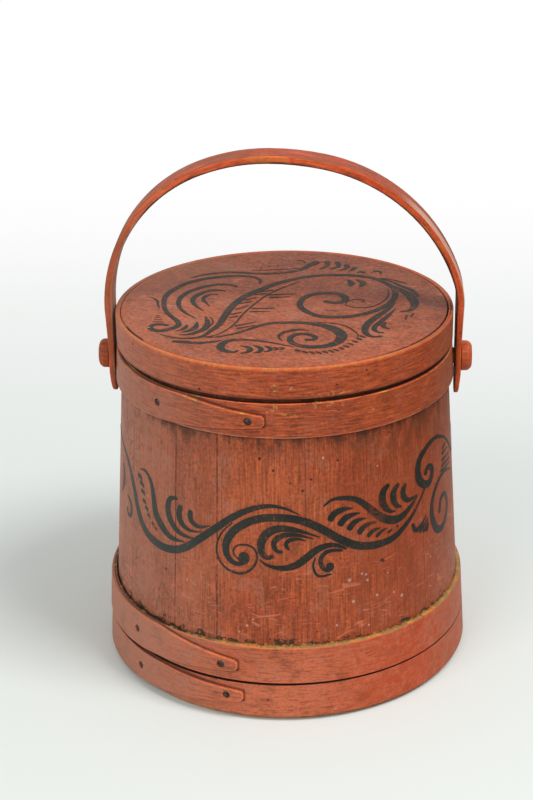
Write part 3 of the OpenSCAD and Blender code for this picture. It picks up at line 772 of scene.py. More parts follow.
lidStrokes = (
    ((1.5, 2.4, 3.0, 3.3, 3.3, 3.2, 3.0, 2.6, 2.4, 2.8, 3.5, 3.2, 2.2), (-18.5, 41.7),
     (-18.5, 46.9), (-23.1, 53.5), (-36.6, 56), (-47.1, 53.7), (-59.3, 48.3), (-69.1, 39.9),
     (-76.3, 27.6), (-80.2, 15.6), (-80.1, 1.9), (-77.1, -13.4), (-72.3, -23.6), (-67.4, -32.7),
     (-66.6, -39.1), (-70.8, -45), (-77.6, -48.7), (-83.2, -45.7), (-84.1, -40.9), (-79.5, -37.5),
     (-73.5, -38.9)),
    ((1.6, 2.6, 3.0, 3.0, 2.6, 1.8, 0.5), (-33.7, 34), (-37.4, 37.4), (-44.5, 38.7), (-52.7, 36.1),
     (-60.5, 29.9), (-67.2, 20.2), (-70.5, 7.9), (-68.3, -7.5), (-63.6, -16.9), (-56.1, -26.1)),
    ((1.6, 2.8, 3.0, 2.8, 1.8, 0.5), (-41.4, 25.8), (-46.4, 27.5), (-51.8, 26), (-57.5, 19.9),
     (-61.4, 10), (-59.4, -0.6), (-55.8, -7.3), (-52.2, -12.9)),
    ((1.5, 2.3, 2.3, 1.6, 0.5), (-45.7, 18.7), (-49.9, 19.1), (-53.9, 14.1), (-54.5, 9.1),
     (-52.3, 3.3), (-49.2, -3)),
    ((0.4, 1.2, 1.5, 1.2, 0.4), (-91, 13.5), (-87.1, 9.6), (-84.7, 4.7), (-83.6, -2),
     (-81.9, -8.1)),
    ((1.0, 3.0, 0.6), (-60.9, -38.6), (-61.7, -43.5), (-66.4, -49.4)),
    ((0.8, 3.0, 4.0, 0.6), (-54.8, -32.5), (-55.5, -43.4), (-59.3, -48.9), (-63.6, -50.9)),
    ((0.6, 2.6, 3.6, 4.0, 3.0, 0.6), (-50.3, -23.2), (-48.3, -31.5), (-48.6, -43.3),
     (-53.2, -50.5), (-58.7, -54.7), (-64.1, -55.7)),
    ((0.5, 0.9, 0.9, 0.5), (-46.9, -24.1), (-44.7, -31.4), (-45.6, -39.6), (-47.6, -43.3)),
    ((0.8, 1.6, 2.8, 4.0, 4.0, 4.0, 3.8, 3.2, 3.0, 3.0, 3.0, 3.0, 3.2, 3.4, 3.5, 3.4, 3.2, 3.4,
      3.8, 3.0), (-76.3, -55.1), (-67.3, -60.2), (-57.4, -61.4), (-49.9, -58.4), (-44.9, -48.6),
     (-40.5, -37.7), (-38.2, -24.8), (-35.4, -8.8), (-30.5, 7.6), (-23.8, 20.5), (-16.1, 30.2),
     (-7.6, 40.5), (0.4, 47.2), (12.2, 54.5), (24.3, 58.3), (36.5, 59), (48.7, 57.5), (59.2, 52.6),
     (67.3, 43.4), (72.8, 31.8), (73.6, 20.8), (71, 7.2), (64.7, -4.5), (56.9, -12.9),
     (45.5, -20.2), (34, -22.4), (24.8, -21), (16.1, -13.6), (11.5, -5), (10.4, 3.9), (12.8, 12.9),
     (18.1, 19.9), (26.8, 22.7), (33.9, 21.9), (39.5, 16.3), (40.4, 10.7), (37.4, 5.5),
     (32.7, 4.3), (27.2, 6.9)),
    ((0.5, 1.1, 1.1, 1.1, 1.1, 0.5), (8.8, 44.8), (2.9, 39), (-5.6, 28.8), (-12, 18.7),
     (-18.1, 4.9), (-22.7, -7.7), (-26.6, -20), (-29.1, -31.1), (-31.8, -39.9), (-36.3, -49.3),
     (-42.3, -56.5), (-47.3, -58.8)),
    ((1.0, 1.6, 2.2, 2.8, 3.0, 4.0, 6.0, 5.6, 4.4, 3.6, 3.2, 3.0, 2.6), (-47.2, -59.3),
     (-39.5, -58.3), (-32, -54.6), (-24.6, -49.1), (-17.2, -41.8), (-9.1, -35.3), (0.7, -32.8),
     (15.2, -33.3), (25.2, -36.9), (32.9, -42.6), (38.3, -51.2), (38.8, -59.3), (35.7, -67.4),
     (29.9, -72.5), (21.8, -74.6), (13.7, -72.8), (8.3, -67.9), (6.6, -61.3), (8.5, -55.4),
     (13.7, -52.5), (19, -54), (22.5, -59), (21.1, -62.1), (16.9, -62.5)),
    ((2.4, 3.5, 2.4, 1.2), (-66.6, -66.6), (-58.7, -67.9), (-51.5, -69.3), (-43.9, -67.8),
     (-37.1, -64.9)),
    ((1.4, 3.4, 4.2, 3.4, 2.6, 2.0, 1.6, 1.2, 0.6), (-25.3, -81.3), (-27.3, -83.8), (-31.2, -83.1),
     (-35.3, -79.3), (-36.3, -74.7), (-35.1, -69.5), (-31.6, -65.1), (-24.9, -63.2),
     (-17.2, -63.9), (-8.7, -66.4), (-1.5, -69.4), (5.7, -73), (9.3, -74.2)),
    ((0.8, 3.0, 3.2, 0.8), (-23.9, -73.6), (-19.7, -75.2), (-17.5, -79.4), (-18.8, -83.7),
     (-23.1, -85.8)),
    ((0.8, 2.6, 2.8, 0.8), (-16, -72.9), (-12, -75.9), (-10.6, -80.1), (-12.1, -83.5),
     (-15.2, -85.3)),
    ((0.8, 2.2, 2.4, 0.7), (-8.9, -73.6), (-5.9, -76.3), (-4.8, -79.2), (-5.9, -81.7),
     (-8.7, -83.5)),
    ((0.8, 1.9, 0.7), (-3.1, -75.7), (-0.7, -78.2), (-2.5, -80.8)),
    ((0.7, 1.6, 0.6), (0.4, -75.7), (3.1, -77.5), (1, -79.6)),
    ((0.6, 2.0, 2.6, 2.4, 1.4, 0.5), (18.4, -47), (11.9, -45.1), (4.5, -48.1), (-0.1, -53.9),
     (-0.6, -59), (1.5, -64)),
    ((0.4, 0.9, 0.9, 0.5), (22.8, -31.7), (32, -33), (39.6, -36.7), (45.7, -44.9), (49.2, -53),
     (48.7, -61.1)),
    ((0.8, 2.4, 3.6, 4.0, 4.0, 3.0, 1.2), (73.3, 4.5), (68.5, -7.3), (60.8, -21.9), (55.5, -33.9),
     (53.6, -44.7), (54.8, -51.9), (58.5, -56.3), (64.5, -55.2)),
    ((0.8, 2.2, 3.2, 3.0, 1.2), (73.5, -6.1), (68.4, -19.2), (63, -32), (59.6, -40.9),
     (61.1, -47.7), (65.4, -49.6)),
    ((0.9, 3.0, 2.4, 0.8), (67.2, -30.9), (65.3, -35.2), (66.4, -40.3), (69.5, -42.8)),
    ((0.8, 2.6, 4.4, 5.2, 5.0, 3.4, 1.2), (65.7, 43.9), (75.2, 32.8), (81.4, 23.2), (85.1, 11.9),
     (86, 0.7), (83.2, -8.1), (77.1, -11.7)),
    ((0.8, 1.4, 2.0, 2.8, 1.6), (63.3, 52.2), (69.7, 47.5), (78.4, 36.5), (84.6, 29.7),
     (88.8, 18.3)),
    ((0.6, 1.2, 0.6), (63.3, 53.4), (73.7, 48.7), (81.7, 41.8)),
    ((1.6, 0.8), (80.7, -18.5), (79.6, -25.8)),
    ((1.4, 0.7), (84.9, -15.7), (82.9, -21.1)),
    ((0.8, 1.8, 2.5, 2.5, 2.4, 2.6, 3.4, 4.5), (-66.7, 52), (-56.7, 58.8), (-42.9, 63.2),
     (-32.2, 63), (-17.8, 60.9), (-7.3, 62.5), (3.4, 66), (10.7, 73.3), (15.4, 80.8), (19, 85.2)),
    ((3.4, 2.8, 1.8, 0.6), (26, 86.8), (27, 81), (24.6, 74.7), (21.1, 70.7)),
    ((3.4, 2.8, 1.8, 0.6), (33.5, 84.9), (34.6, 79.4), (32.9, 74.4), (28.4, 70.8)),
    ((3.2, 2.6, 1.6, 0.6), (40.2, 79.4), (40.7, 75), (38.7, 71.2), (34.7, 68.5)),
    ((3.0, 2.0, 0.6), (45.7, 73.8), (44.5, 70.1), (42, 67.1)),
    ((2.6, 1.8, 0.6), (52.3, 64.8), (49.4, 65.7), (47.8, 63.3)),
    ((1.2, 2.2, 0.8), (64.1, 61.8), (62.1, 67.4), (57.2, 64.9)),
    ((1.8, 4.2, 1.8), (41.9, 48.3), (44, 42.4), (43.2, 37.6)),
    ((1.8, 4.2, 1.8), (47.5, 49.5), (52, 42.5), (50, 36.6)),
    ((0.4, 0.9, 0.9, 0.9, 0.5), (68.8, 32.2), (68.7, 18.4), (63.9, 4.8), (56.9, -3.1),
     (48.4, -4.3), (40.6, -0.5)),
    ((0.4, 0.8, 0.8, 0.5), (-25.4, 67.8), (-11.2, 69), (-0.6, 70.7), (7.8, 72.5)),
    ((0.6, 1.0, 0.7), (4.7, 88.2), (8.4, 89.1), (11.1, 83.3)),
    ((2.0, 2.0, 0.6), (-10.6, 18.7), (7.8, 21)),
    ((2.0, 2.0, 0.6), (-9.7, 13.8), (3.2, 15)),
    ((2.0, 2.0, 0.6), (-20, -7.6), (-5.9, -6.8)),
    ((2.0, 2.0, 0.6), (-21, -13.3), (-8.3, -12.5)),
    ((2.0, 2.0, 0.6), (-29.2, -39.3), (-16.5, -31.8)),
    ((2.0, 2.0, 0.6), (-27.6, -43.5), (-16.8, -37.8)),
    ((1.3, 1.3), (-33.7, -18.6), (-27.6, -14.8)),
    ((1.3, 1.3), (-33.9, -24.2), (-29.4, -21.9)),
    ((1.3, 1.3), (-31, -9.1), (-24, -2.5)),
    ((1.3, 1.3), (-29.7, 1.4), (-21.9, 6.2)),
    ((1.3, 1.3), (-27.1, 8.2), (-19.6, 13.1)),
    ((1.3, 1.3), (-20.3, 19.2), (-12.5, 21.1)),
    ((1.3, 1.3), (-17.2, 24.6), (-9.1, 28.1)),
    ((1.3,), (-8.1, 78.7)), ((1.3,), (-14.1, 76.5)), ((1.3,), (-19.3, 74.3)),
    ((0.5, 0.8, 0.9, 0.8), (40.5, -0.3), (41.5, 6), (44.1, 9.5), (47.8, 10.8), (51.2, 10.6),
     (53, 7.6), (51.4, 5.4)),
    ((0.5, 0.5), (-82.6, -21.9), (-79.9, -21.9)), ((0.5, 0.5), (-83, -25.6), (-78.9, -25.5)),
    ((0.5, 0.5), (-83.5, -29.2), (-77.8, -29.1)), ((0.5, 0.5), (-83.7, -32.8), (-76.8, -32.7)),
) + tuple(
    ((0.8, 2.2, 0.9), (x - 1.8, y + 1.4), (x, y), (x + 2, y - 2))
    for x, y in ((12, -80.4), (16.6, -82.8), (20.8, -83.6), (25, -83.4), (29, -82.6), (32.6, -81),
     (35.8, -79.2), (39, -76.4), (42, -73), (44.8, -69.2), (47.4, -64.8), (50, -60.4),
     (52, -56.2)))


def spread(widths, share):
    at = share * (len(widths) - 1)
    i = min(int(at), len(widths) - 2)
    return widths[i] + (widths[i + 1] - widths[i]) * (at - i)


# a stroke's points with their widths, and round ends where the brush came down broad
def brushPoints(widths, points):
    if len(points) == 1:
        widths, points = widths * 2, [points[0] + Vector((side * brush["dot"], 0))
                                      for side in (-1, 1)]
    reach = [0.0]
    for a, b in zip(points, points[1:]):
        reach.append(reach[-1] + (b - a).length)
    rows = [(p, spread(widths, r / reach[-1]) * mm) for p, r in zip(points, reach)]
    for end in (0, -1):
        spot, width = rows[end]
        if width > brush["broad"]:
            away = (spot - rows[1 if end == 0 else -2][0]).normalized()
            cap = [(spot + away * width * d, width * w) for d, w in brush["caps"]]
            rows = cap[::-1] + rows if end == 0 else rows + cap
    return rows


# flat strokes of a round brush, drawn as one curve and made into a thin film
def brushWork(name, strokes, press):
    bpy.ops.curve.primitive_bezier_curve_add()
    tip = nameIt("brushTip")
    tip.data.dimensions = "2D"
    tip.data.splines.clear()
    flat = tip.data.splines.new("POLY")
    flat.points.add(1)
    flat.points[0].co, flat.points[1].co = (-0.5, 0, 0, 1), (0.5, 0, 0, 1)
    bpy.ops.curve.primitive_bezier_curve_add()
    drawn = nameIt(name)
    drawn.data.dimensions = "3D"
    drawn.data.twist_mode = "Z_UP"
    drawn.data.splines.clear()
    drawn.data.resolution_u = brush["resolution"]
    drawn.data.bevel_mode = "OBJECT"
    drawn.data.bevel_object = tip
    for i, (widths, points) in enumerate(strokes):
        rows = brushPoints(widths, points)
        line = drawn.data.splines.new("BEZIER")
        line.radius_interpolation = "LINEAR"
        line.bezier_points.add(len(rows) - 1)
        for knot, (spot, width) in zip(line.bezier_points, rows):
            # no two that cross lie level
            knot.co = (spot.x, spot.y, i % brush["layers"] * brush["layer"])
            knot.radius = width * press
            knot.handle_left_type = knot.handle_right_type = "AUTO"
    pick(drawn)
    bpy.ops.object.convert(target="MESH")
    film = bpy.context.object
    film.name = film.data.name = name
    bpy.data.objects.remove(tip)
    return film


def thicken(film):
    bpy.ops.object.mode_set(mode="EDIT")
    faceOut()
    useModifier(film, "SOLIDIFY", thickness=brush["film"], offset=0)
    pick(film)
    bpy.ops.object.mode_set(mode="EDIT")
    bpy.ops.mesh.select_all(action="SELECT")
    bpy.ops.mesh.remove_doubles(threshold=brush["weld"])
    faceOut()
    bpy.ops.object.shade_smooth_by_angle(angle=math.radians(30))


def makeWallScrolls():
    scale = brush["perDegree"]
    strokes = [(widths, [Vector(((a + turn) * scale, z * mm)) for a, z in points])
               for turn in (0, 180) for widths, *points in wallStrokes]
    film = brushWork("wallScrolls", strokes, brush["press"])
    pick(film)
    bpy.ops.object.mode_set(mode="EDIT")
    half = brush["slit"] / 2
    cuts = [seam + turn for seam in wall["seams"][:-1]
            for turn in (-360, 0) if -196 < seam + turn < 172]
    for seam in cuts:  # the paint is broken along each seam
        for side in (-half, half):
            bpy.ops.mesh.select_all(action="SELECT")
            bpy.ops.mesh.bisect(plane_co=(seam * scale + side, 0, 0), plane_no=(1, 0, 0))
    mesh = bmesh.from_edit_mesh(film.data)
    inSlit = [f for f in mesh.faces if any(abs(f.calc_center_median().x - s * scale) < half
                                           for s in cuts)]
    bmesh.ops.delete(mesh, geom=inSlit, context="FACES")
    bmesh.update_edit_mesh(film.data)
    bpy.ops.object.mode_set(mode="OBJECT")
    thicken(film)
    for v in film.data.vertices:
        v.co = polar(wallR(v.co.y) + brush["wallLift"] + brush["film"] / 2 + v.co.z,
                     v.co.x / scale, v.co.y)
    return film


def makeLidScrolls():
    film = brushWork("lidScrolls", [(widths, [Vector((x * mm, y * mm)) for x, y in points])
                                    for widths, *points in lidStrokes], brush["lidPress"])
    thicken(film)
    film.data.transform(Matrix.Translation((0, 0,
                                            lid["top"] + brush["lidLift"] + brush["film"] / 2)))
    return film


wallScrolls, lidScrolls = makeWallScrolls(), makeLidScrolls()
print("scrolls painted:", len(wallScrolls.data.polygons), len(lidScrolls.data.polygons))

# some of these colours also paint shade, shadow lines, sheen and highlights, as said where they
# are laid
tint = {"dark": srgb(82, 46, 27), "light": srgb(214, 106, 58), "deep": srgb(144, 58, 25),
        "haze": srgb(164, 116, 96), "rub": srgb(238, 114, 58), "ochre": srgb(196, 148, 80),
        "olive": srgb(150, 124, 78), "amber": srgb(214, 130, 52), "fleck": srgb(224, 166, 78),
        "shadeBrown": srgb(58, 36, 27), "paleHighlight": srgb(206, 160, 140), "rimRub": srgb(202, 92, 46),
        "rimOchre": srgb(196, 122, 62), "poreAndShade": srgb(52, 28, 20), "speck": srgb(198, 172, 160),
        "scratch": srgb(214, 118, 88), "grimeAndShade": srgb(44, 42, 30), "bare": srgb(164, 126, 86),
        "bareDark": srgb(112, 80, 52), "scroll": srgb(27, 30, 26), "scrollWorn": srgb(42, 41, 34),
        "iron": srgb(90, 84, 78), "rust": srgb(52, 34, 26), "sheenGrey": srgb(84, 96, 90),
        "dull": srgb(118, 72, 48), "sheenBrown": srgb(140, 98, 70), "umber": srgb(122, 62, 34)}


def newGroup(name, inputs, outputs):
    tree = bpy.data.node_groups.new(name, "ShaderNodeTree")
    for label, kind in inputs:
        tree.interface.new_socket(label, in_out="INPUT", socket_type="NodeSocket" + kind)
    for label, kind in outputs:
        tree.interface.new_socket(label, in_out="OUTPUT", socket_type="NodeSocket" + kind)
    return tree, tree.nodes.new("NodeGroupInput").outputs, tree.nodes.new("NodeGroupOutput")


def useGroup(tree, group, inputs):
    return wire(tree, "ShaderNodeGroup", inputs, node_tree=group).outputs


def lay(color, coat, *masks):  # one coat over another, as far as all its masks let it
    share = masks[0]
    for mask in masks[1:]:
        share = times(share, mask)
    return blend(share, color, coat)


def makeSprinkle():  # small round marks, strewn at random
    tree, given, out = newGroup("sprinkle",
                                (("Place", "Vector"), ("Scale", "Float"), ("Size", "Float"),
                                 ("Share", "Float")), (("Mask", "Float"),))
    cells = wire(tree, "ShaderNodeTexVoronoi", {"Vector": given["Place"], "Scale": given["Scale"]},
                 voronoi_dimensions="2D").outputs
    chance = wire(tree, "ShaderNodeSeparateColor", {0: cells["Color"]}).outputs
    size = times(given["Size"], scaled(chance[1], 0.7, 0.45))
    inside = sums("DIVIDE", minus(size, cells["Distance"]), times(size, 0.5), clamp=True)
    kept = sums("LESS_THAN", chance[0], given["Share"])
    tree.links.new(times(inside, kept), out.inputs["Mask"])
    return tree


sprinkle = makeSprinkle()


paintShares = ("streak", "mottle", "haze", "rub", "chips", "specks", "pores", "craze")


def makeAgedPaint():
    wanted = [("Place", "Vector"), ("Grain", "Vector"), ("Edge", "Float"), ("Red", "Color"),
              ("Orange", "Color")]
    wanted += [(key.title(), "Float") for key in paintShares]
    tree, given, out = newGroup("agedPaint", wanted,
                                (("Color", "Color"), ("Rough", "Float"), ("Height", "Float")))
    place, grain, streak, mottle = given["Place"], given["Grain"], given["Streak"], given["Mottle"]
    broad = noiseAt(place, 13)
    blots = noiseAt(place, 46, 6, 0.68)
    patch = noiseAt(place, 120, 5, 0.66)
    middle = noiseAt(grain, 250, 5, 0.62)
    fine = noiseAt(grain, 760, 4, 0.62)
    crackle = noiseAt(place, 430, 5, 0.7)
    tone = lay(given["Red"], given["Orange"], ramp(broad, 0.36, 0.64))
    coats = (("dark", blots, 0.50, 0.72, mottle, 0.6), ("light", patch, 0.54, 0.72, mottle, 0.6),
             ("dark", middle, 0.52, 0.72, streak, 0.42),
             ("light", middle, 0.46, 0.28, streak, 0.4), ("dark", fine, 0.50, 0.62, streak),
             ("light", fine, 0.47, 0.35, streak, 0.9), ("haze", blots, 0.50, 0.34, given["Haze"]),
             ("dark", crackle, 0.51, 0.62, given["Craze"]),
             ("light", crackle, 0.47, 0.36, given["Craze"], 0.9))
    for coat, noise, low, high, *shares in coats:
        tone = lay(tone, coat, ramp(noise, low, high), *shares)
    dashes = noiseAt(grain, 1000, 2, 0.5)
    pores = times(ramp(dashes, 0.60, 0.72),
                 times(ramp(patch, 0.44, 0.60), given["Pores"]))
    tone = blend(pores, tone, "poreAndShade")
    pits = useGroup(tree, sprinkle,
                    {"Place": place, "Scale": 60.0, "Size": 0.055, "Share": 0.16})[0]
    tone = lay(tone, "poreAndShade", pits, 0.75)
    specks = useGroup(tree, sprinkle,
                      {"Place": place, "Scale": 71.0, "Size": 0.07, "Share": given["Specks"]})[0]
    tone = lay(tone, "speck", specks, 0.7)
    keen = sums("POWER", given["Edge"], 0.8)
    tone = lay(tone, "rub", ramp(patch, 0.34, 0.52), given["Rub"], keen)
    tone = lay(tone, "fleck", ramp(blots, 0.56, 0.61), given["Chips"], keen)
    tree.links.new(tone, out.inputs["Color"])
    rough = scaled(fine, 0.16, scaled(patch, 0.22, 0.34))
    tree.links.new(rough, out.inputs["Rough"])
    height = scaled(middle, 0.5, scaled(fine, 0.4, times(crackle, 0.5)))
    tree.links.new(minus(height, sums("ADD", pores, pits)), out.inputs["Height"])
    return tree


agedPaint = makeAgedPaint()


# painted light: the left side is painted pale in the haze colour as a painted reflection, the
# right side a deeper red as painted shade, and the right edge a greyer brown as a painted
# reflection
def makeSheenAndShade():
    tree, given, out = newGroup("sheenAndShade",
                                (("Color", "Color"), ("Place", "Vector"), ("Pale", "Float"),
                                 ("Deep", "Float"), ("ShadedRed", "Color"), ("Far", "Float")),
                                (("Color", "Color"),))
    x = apart(given["Place"])[0]
    cloud = noiseAt(given["Place"], 190, 5, 0.68)
    tone = lay(given["Color"], "haze", ramp(x, -10 * mm, -108 * mm), ramp(cloud, 0.10, 0.62),
               given["Pale"])
    tone = lay(tone, given["ShadedRed"], ramp(x, 0.0, 95 * mm), ramp(cloud, 0.80, 0.30), given["Deep"])
    # a painted reflection along the right edge, in a greyer brown
    tone = lay(tone, "sheenBrown", ramp(x, 88 * mm, 114 * mm), ramp(cloud, 0.25, 0.60), given["Far"])
    tree.links.new(tone, out.inputs["Color"])
    return tree


sheenAndShade = makeSheenAndShade()


def surface(color, rough, height, depth=0.12 * mm, metal=0.0, gloss=0.2):
    tree = color.id_data
    bump = wire(tree, "ShaderNodeBump",
                {"Strength": 0.7, "Distance": depth, "Height": height}).outputs[0]
    shader = wire(tree, "ShaderNodeBsdfPrincipled",
                  {"Base Color": color, "Roughness": rough, "Normal": bump, "Metallic": metal,
                   "Specular IOR Level": gloss}).outputs[0]
    wire(tree, "ShaderNodeOutputMaterial", {"Surface": shader})


def attribute(tree, name, out="Fac"):
    return wire(tree, "ShaderNodeAttribute", attribute_name=name).outputs[out]


def stretched(place, stretch, turn=0.0, shift=(0, 0, 0)):
    return wire(place.id_data, "ShaderNodeMapping",
                {"Vector": place, "Rotation": (0, 0, math.radians(turn)), "Scale": stretch,
                 "Location": shift}).outputs[0]


def onWall(tree):  # along the wall, up it and into it
    return apart(attribute(tree, "wallFlat", "Vector"))


def makePaint(name, look, coats):  # coats: what this piece has over the shared paint
    material, tree = freshMaterial(name)
    place = objectPlace(tree)
    if "flat" in look:
        place = stretched(attribute(tree, look["flat"], "Vector"), (1, 1, 0))
    grain = attribute(tree, look["along"], "Vector") if "along" in look else place
    if "turn" in look:
        grain = stretched(grain, (1, 1, 1), look["turn"])
    grain = stretched(grain, look["stretch"])
    edge = attribute(tree, "edgeRub")
    if "hidden" in look:  # edges shut in between two hoops keep their paint
        along, height, depth = onWall(tree)
        shut = times(ramp(height, 29 * mm, 27.4 * mm), ramp(depth, -3.9 * mm, -3.4 * mm))
        edge = times(edge, minus(1.0, shut))
    made = useGroup(tree, agedPaint, {
        "Place": place, "Grain": grain, "Edge": edge, "Red": look["red"], "Orange": look["orange"],
        **{key.title(): look[key] for key in paintShares}})
    # the left painted paler as a painted reflection, the right a deeper red as painted shade
    color = useGroup(tree, sheenAndShade,
                     {"Color": made["Color"], "Place": objectPlace(tree), "Pale": look["pale"],
                      "Deep": look["deep"], "ShadedRed": look.get("kept", tint["deep"]),
                      "Far": look["far"]})[0]
    surface(coats(tree, place, grain, color), made["Rough"], made["Height"],
            gloss=look.get("gloss", 0.2))
    return material


looks = {"stave": {"stretch": (1, 0.05, 1), "flat": "wallFlat", "red": srgb(159, 71, 41),
                   "orange": srgb(173, 85, 51), "streak": 0.5, "mottle": 0.75, "haze": 0.34,
                   "rub": 0.0, "chips": 0.0, "specks": 0.02, "pores": 0.4, "craze": 0.44,
                   "pale": 0.72, "deep": 0.85, "far": 0.36},
         # the hoop's kept colour is the deeper red painted on the right as painted shade
         "hoop": {"stretch": (0.11, 1, 1), "flat": "wallFlat", "red": srgb(186, 97, 67),
                  "orange": srgb(200, 108, 76), "streak": 0.44, "mottle": 1.0, "haze": 0.28,
                  "rub": 0.9, "chips": 0.35, "specks": 0.04, "pores": 0.5, "craze": 0.32,
                  "pale": 0.8, "deep": 0.95, "kept": srgb(178, 62, 20), "far": 0.4,
                  "hidden": True},
         "upperHoop": {"stretch": (0.1, 1, 1), "flat": "wallFlat", "red": srgb(156, 68, 40),
                       "orange": srgb(174, 80, 46), "streak": 0.66, "mottle": 0.5, "haze": 0.15,
                       "rub": 0.8, "chips": 0.9, "specks": 0.05, "pores": 0.8, "craze": 0.3,
                       "pale": 0.75, "deep": 0.6, "far": 0.5},
         "lid": {"stretch": (0.07, 1, 1), "turn": 32, "red": srgb(146, 73, 46),
                 "orange": srgb(164, 85, 53), "streak": 0.26, "mottle": 0.8, "haze": 0.38,
                 "rub": 0.3, "chips": 0.2, "specks": 0.03, "pores": 0.4, "craze": 0.58,
                 "pale": 0.2, "deep": 0.15, "far": 0.0},
         "rim": {"stretch": (0.1, 1, 1), "flat": "wallFlat", "red": srgb(164, 70, 40),
                 "orange": srgb(184, 84, 48), "streak": 0.66, "mottle": 0.5, "haze": 0.15,
                 "rub": 0.6, "chips": 0.6, "specks": 0.04, "pores": 0.7, "craze": 0.3,
                 "pale": 0.55, "deep": 0.5, "far": 0.38},
         "handle": {"stretch": (0.08, 1, 1), "along": "alongStrip", "red": srgb(206, 71, 43),
                    "orange": srgb(220, 85, 52), "streak": 0.66, "mottle": 0.6, "haze": 0.1,
                    "rub": 0.5, "chips": 0.3, "specks": 0.03, "pores": 0.9, "craze": 0.3,
                    "pale": 0.3, "deep": 0.35, "far": 0.0, "gloss": 0.1},
         "peg": {"stretch": (0.1, 1, 1), "red": srgb(166, 64, 36), "orange": srgb(186, 80, 46),
                 "streak": 0.5, "mottle": 0.5, "haze": 0.1, "rub": 0.5, "chips": 0.2,
                 "specks": 0.02, "pores": 0.5, "craze": 0.3, "pale": 0.0, "deep": 0.3, "far": 0.0}}


def pegCoats(tree, place, grain, color):  # painted shade: the left peg is painted darker
    x = apart(objectPlace(tree))[0]
    return lay(color, "dark", ramp(x, -100 * mm, -116 * mm), 0.4)


# the upper edge of the rim is rubbed by every lifting of the lid, more towards the front, and its
# upper face is darker away from the front
def rimCoats(tree, place, grain, color):
    up = ramp(attribute(tree, "upFace"), 0.6, 0.9)
    worn = noiseAt(place, 90, 4)
    x, y, z = apart(objectPlace(tree))
    front = times(ramp(y, 10 * mm, -75 * mm), ramp(x, 104 * mm, 50 * mm))
    frontShare = scaled(front, 0.65, 0.3)
    left = ramp(x, -112 * mm, -25 * mm, (0.15, 1.0))
    color = lay(color, "rimRub", up, ramp(worn, 0.30, 0.48), left, frontShare)
    lip = ramp(scaled(noiseAt(place, 260, 4, 0.7), 3.6 * mm, z), lid["top"], lid["top"] + 1.2 * mm)
    color = lay(color, "rimRub", lip, left, frontShare)
    chips = ramp(noiseAt(place, 230, 5, 0.72), 0.47, 0.56)
    color = lay(color, "rimOchre", lip, chips, scaled(front, 0.6, 0.2))
    color = lay(color, "dark", up, minus(1.0, front), 0.35)
    # a painted sheen on the edges at the left
    color = lay(color, "sheenBrown", attribute(tree, "edgeRub"), ramp(x, -50 * mm, -105 * mm), 0.6)
    color = flecked(color, place, rimFlecks)
    color = lay(color, "poreAndShade", spotted(place, rimPits, worn), 0.85)
    # painted shade along the rim's lower edge, over the gap above the upper hoop
    low = ramp(z, 224.6 * mm, 223.0 * mm)
    return lay(color, "poreAndShade", low, 0.6)


def fingerDirtAndShade(color, hoop):  # dark lines round a finger, on the hoop that it lies over: painted shadow under its lower edge, painted shade and dirt round its tip, dirt along its upper edge
    along, height, depth = onWall(color.id_data)
    back = sums("DIVIDE", minus(math.radians(hoop["tip"]) * wall["footR"], along),
                math.radians(1) * wall["footR"])
    under = ramp(depth, -4.6 * mm, -4.0 * mm)
    tipLow = hoop["low"] + hoop["tipUp"]
    tipHigh = tipLow + hoopShape["tipHeight"]
    beside = times(ramp(height, tipLow - 1.5 * mm, tipLow),
                   ramp(height, tipHigh + 1.5 * mm, tipHigh))
    end = times(ramp(back, 0.3, 0.1), ramp(back, -0.7, -0.25))
    color = lay(color, "poreAndShade", end, beside, under, 0.4)
    along = times(ramp(back, -0.5, 0.2), ramp(back, 60, 42))
    edges = ((hoop["low"], tipLow, hoopShape["taperLow"], hoopShape["curve"], 0.8),
             (hoop["high"], tipHigh, hoopShape["taper"], 1.0, 0.5))
    for edge, tipEdge, taper, curve, share in edges:
        left = sums("SUBTRACT", 1.0, sums("DIVIDE", back, taper), clamp=True)
        line = scaled(sums("POWER", left, curve), tipEdge - edge, edge)
        near = awayFrom(height, line)
        color = lay(color, "poreAndShade", ramp(near, 1.6 * mm, 0.5 * mm), along, under, share)
    return color


# behind the upper edge, under the lid's rim, the upper face is dark: painted shade, and dirt that
# the rim keeps from being wiped
def upperHoopCoats(tree, place, grain, color):
    depth = onWall(tree)[2]
    up = ramp(attribute(tree, "upFace"), 0.5, 0.8)
    dirt = noiseAt(place, 150, 4, 0.65)
    color = lay(color, "poreAndShade", up, ramp(depth, -2.9 * mm, -2.0 * mm), ramp(dirt, 0.25, 0.45), 0.9)
    height = apart(objectPlace(tree))[2]
    color = flecked(color, place, hoopFlecks)
    color = fingerDirtAndShade(color, hoops["upper"])
    # a pale line on the lower edge: worn paint and a painted highlight
    pale = times(ramp(height, 198.3 * mm, 197.4 * mm), attribute(tree, "edgeRub"))
    return lay(color, "speck", pale, ramp(dirt, 0.40, 0.55), 0.55)


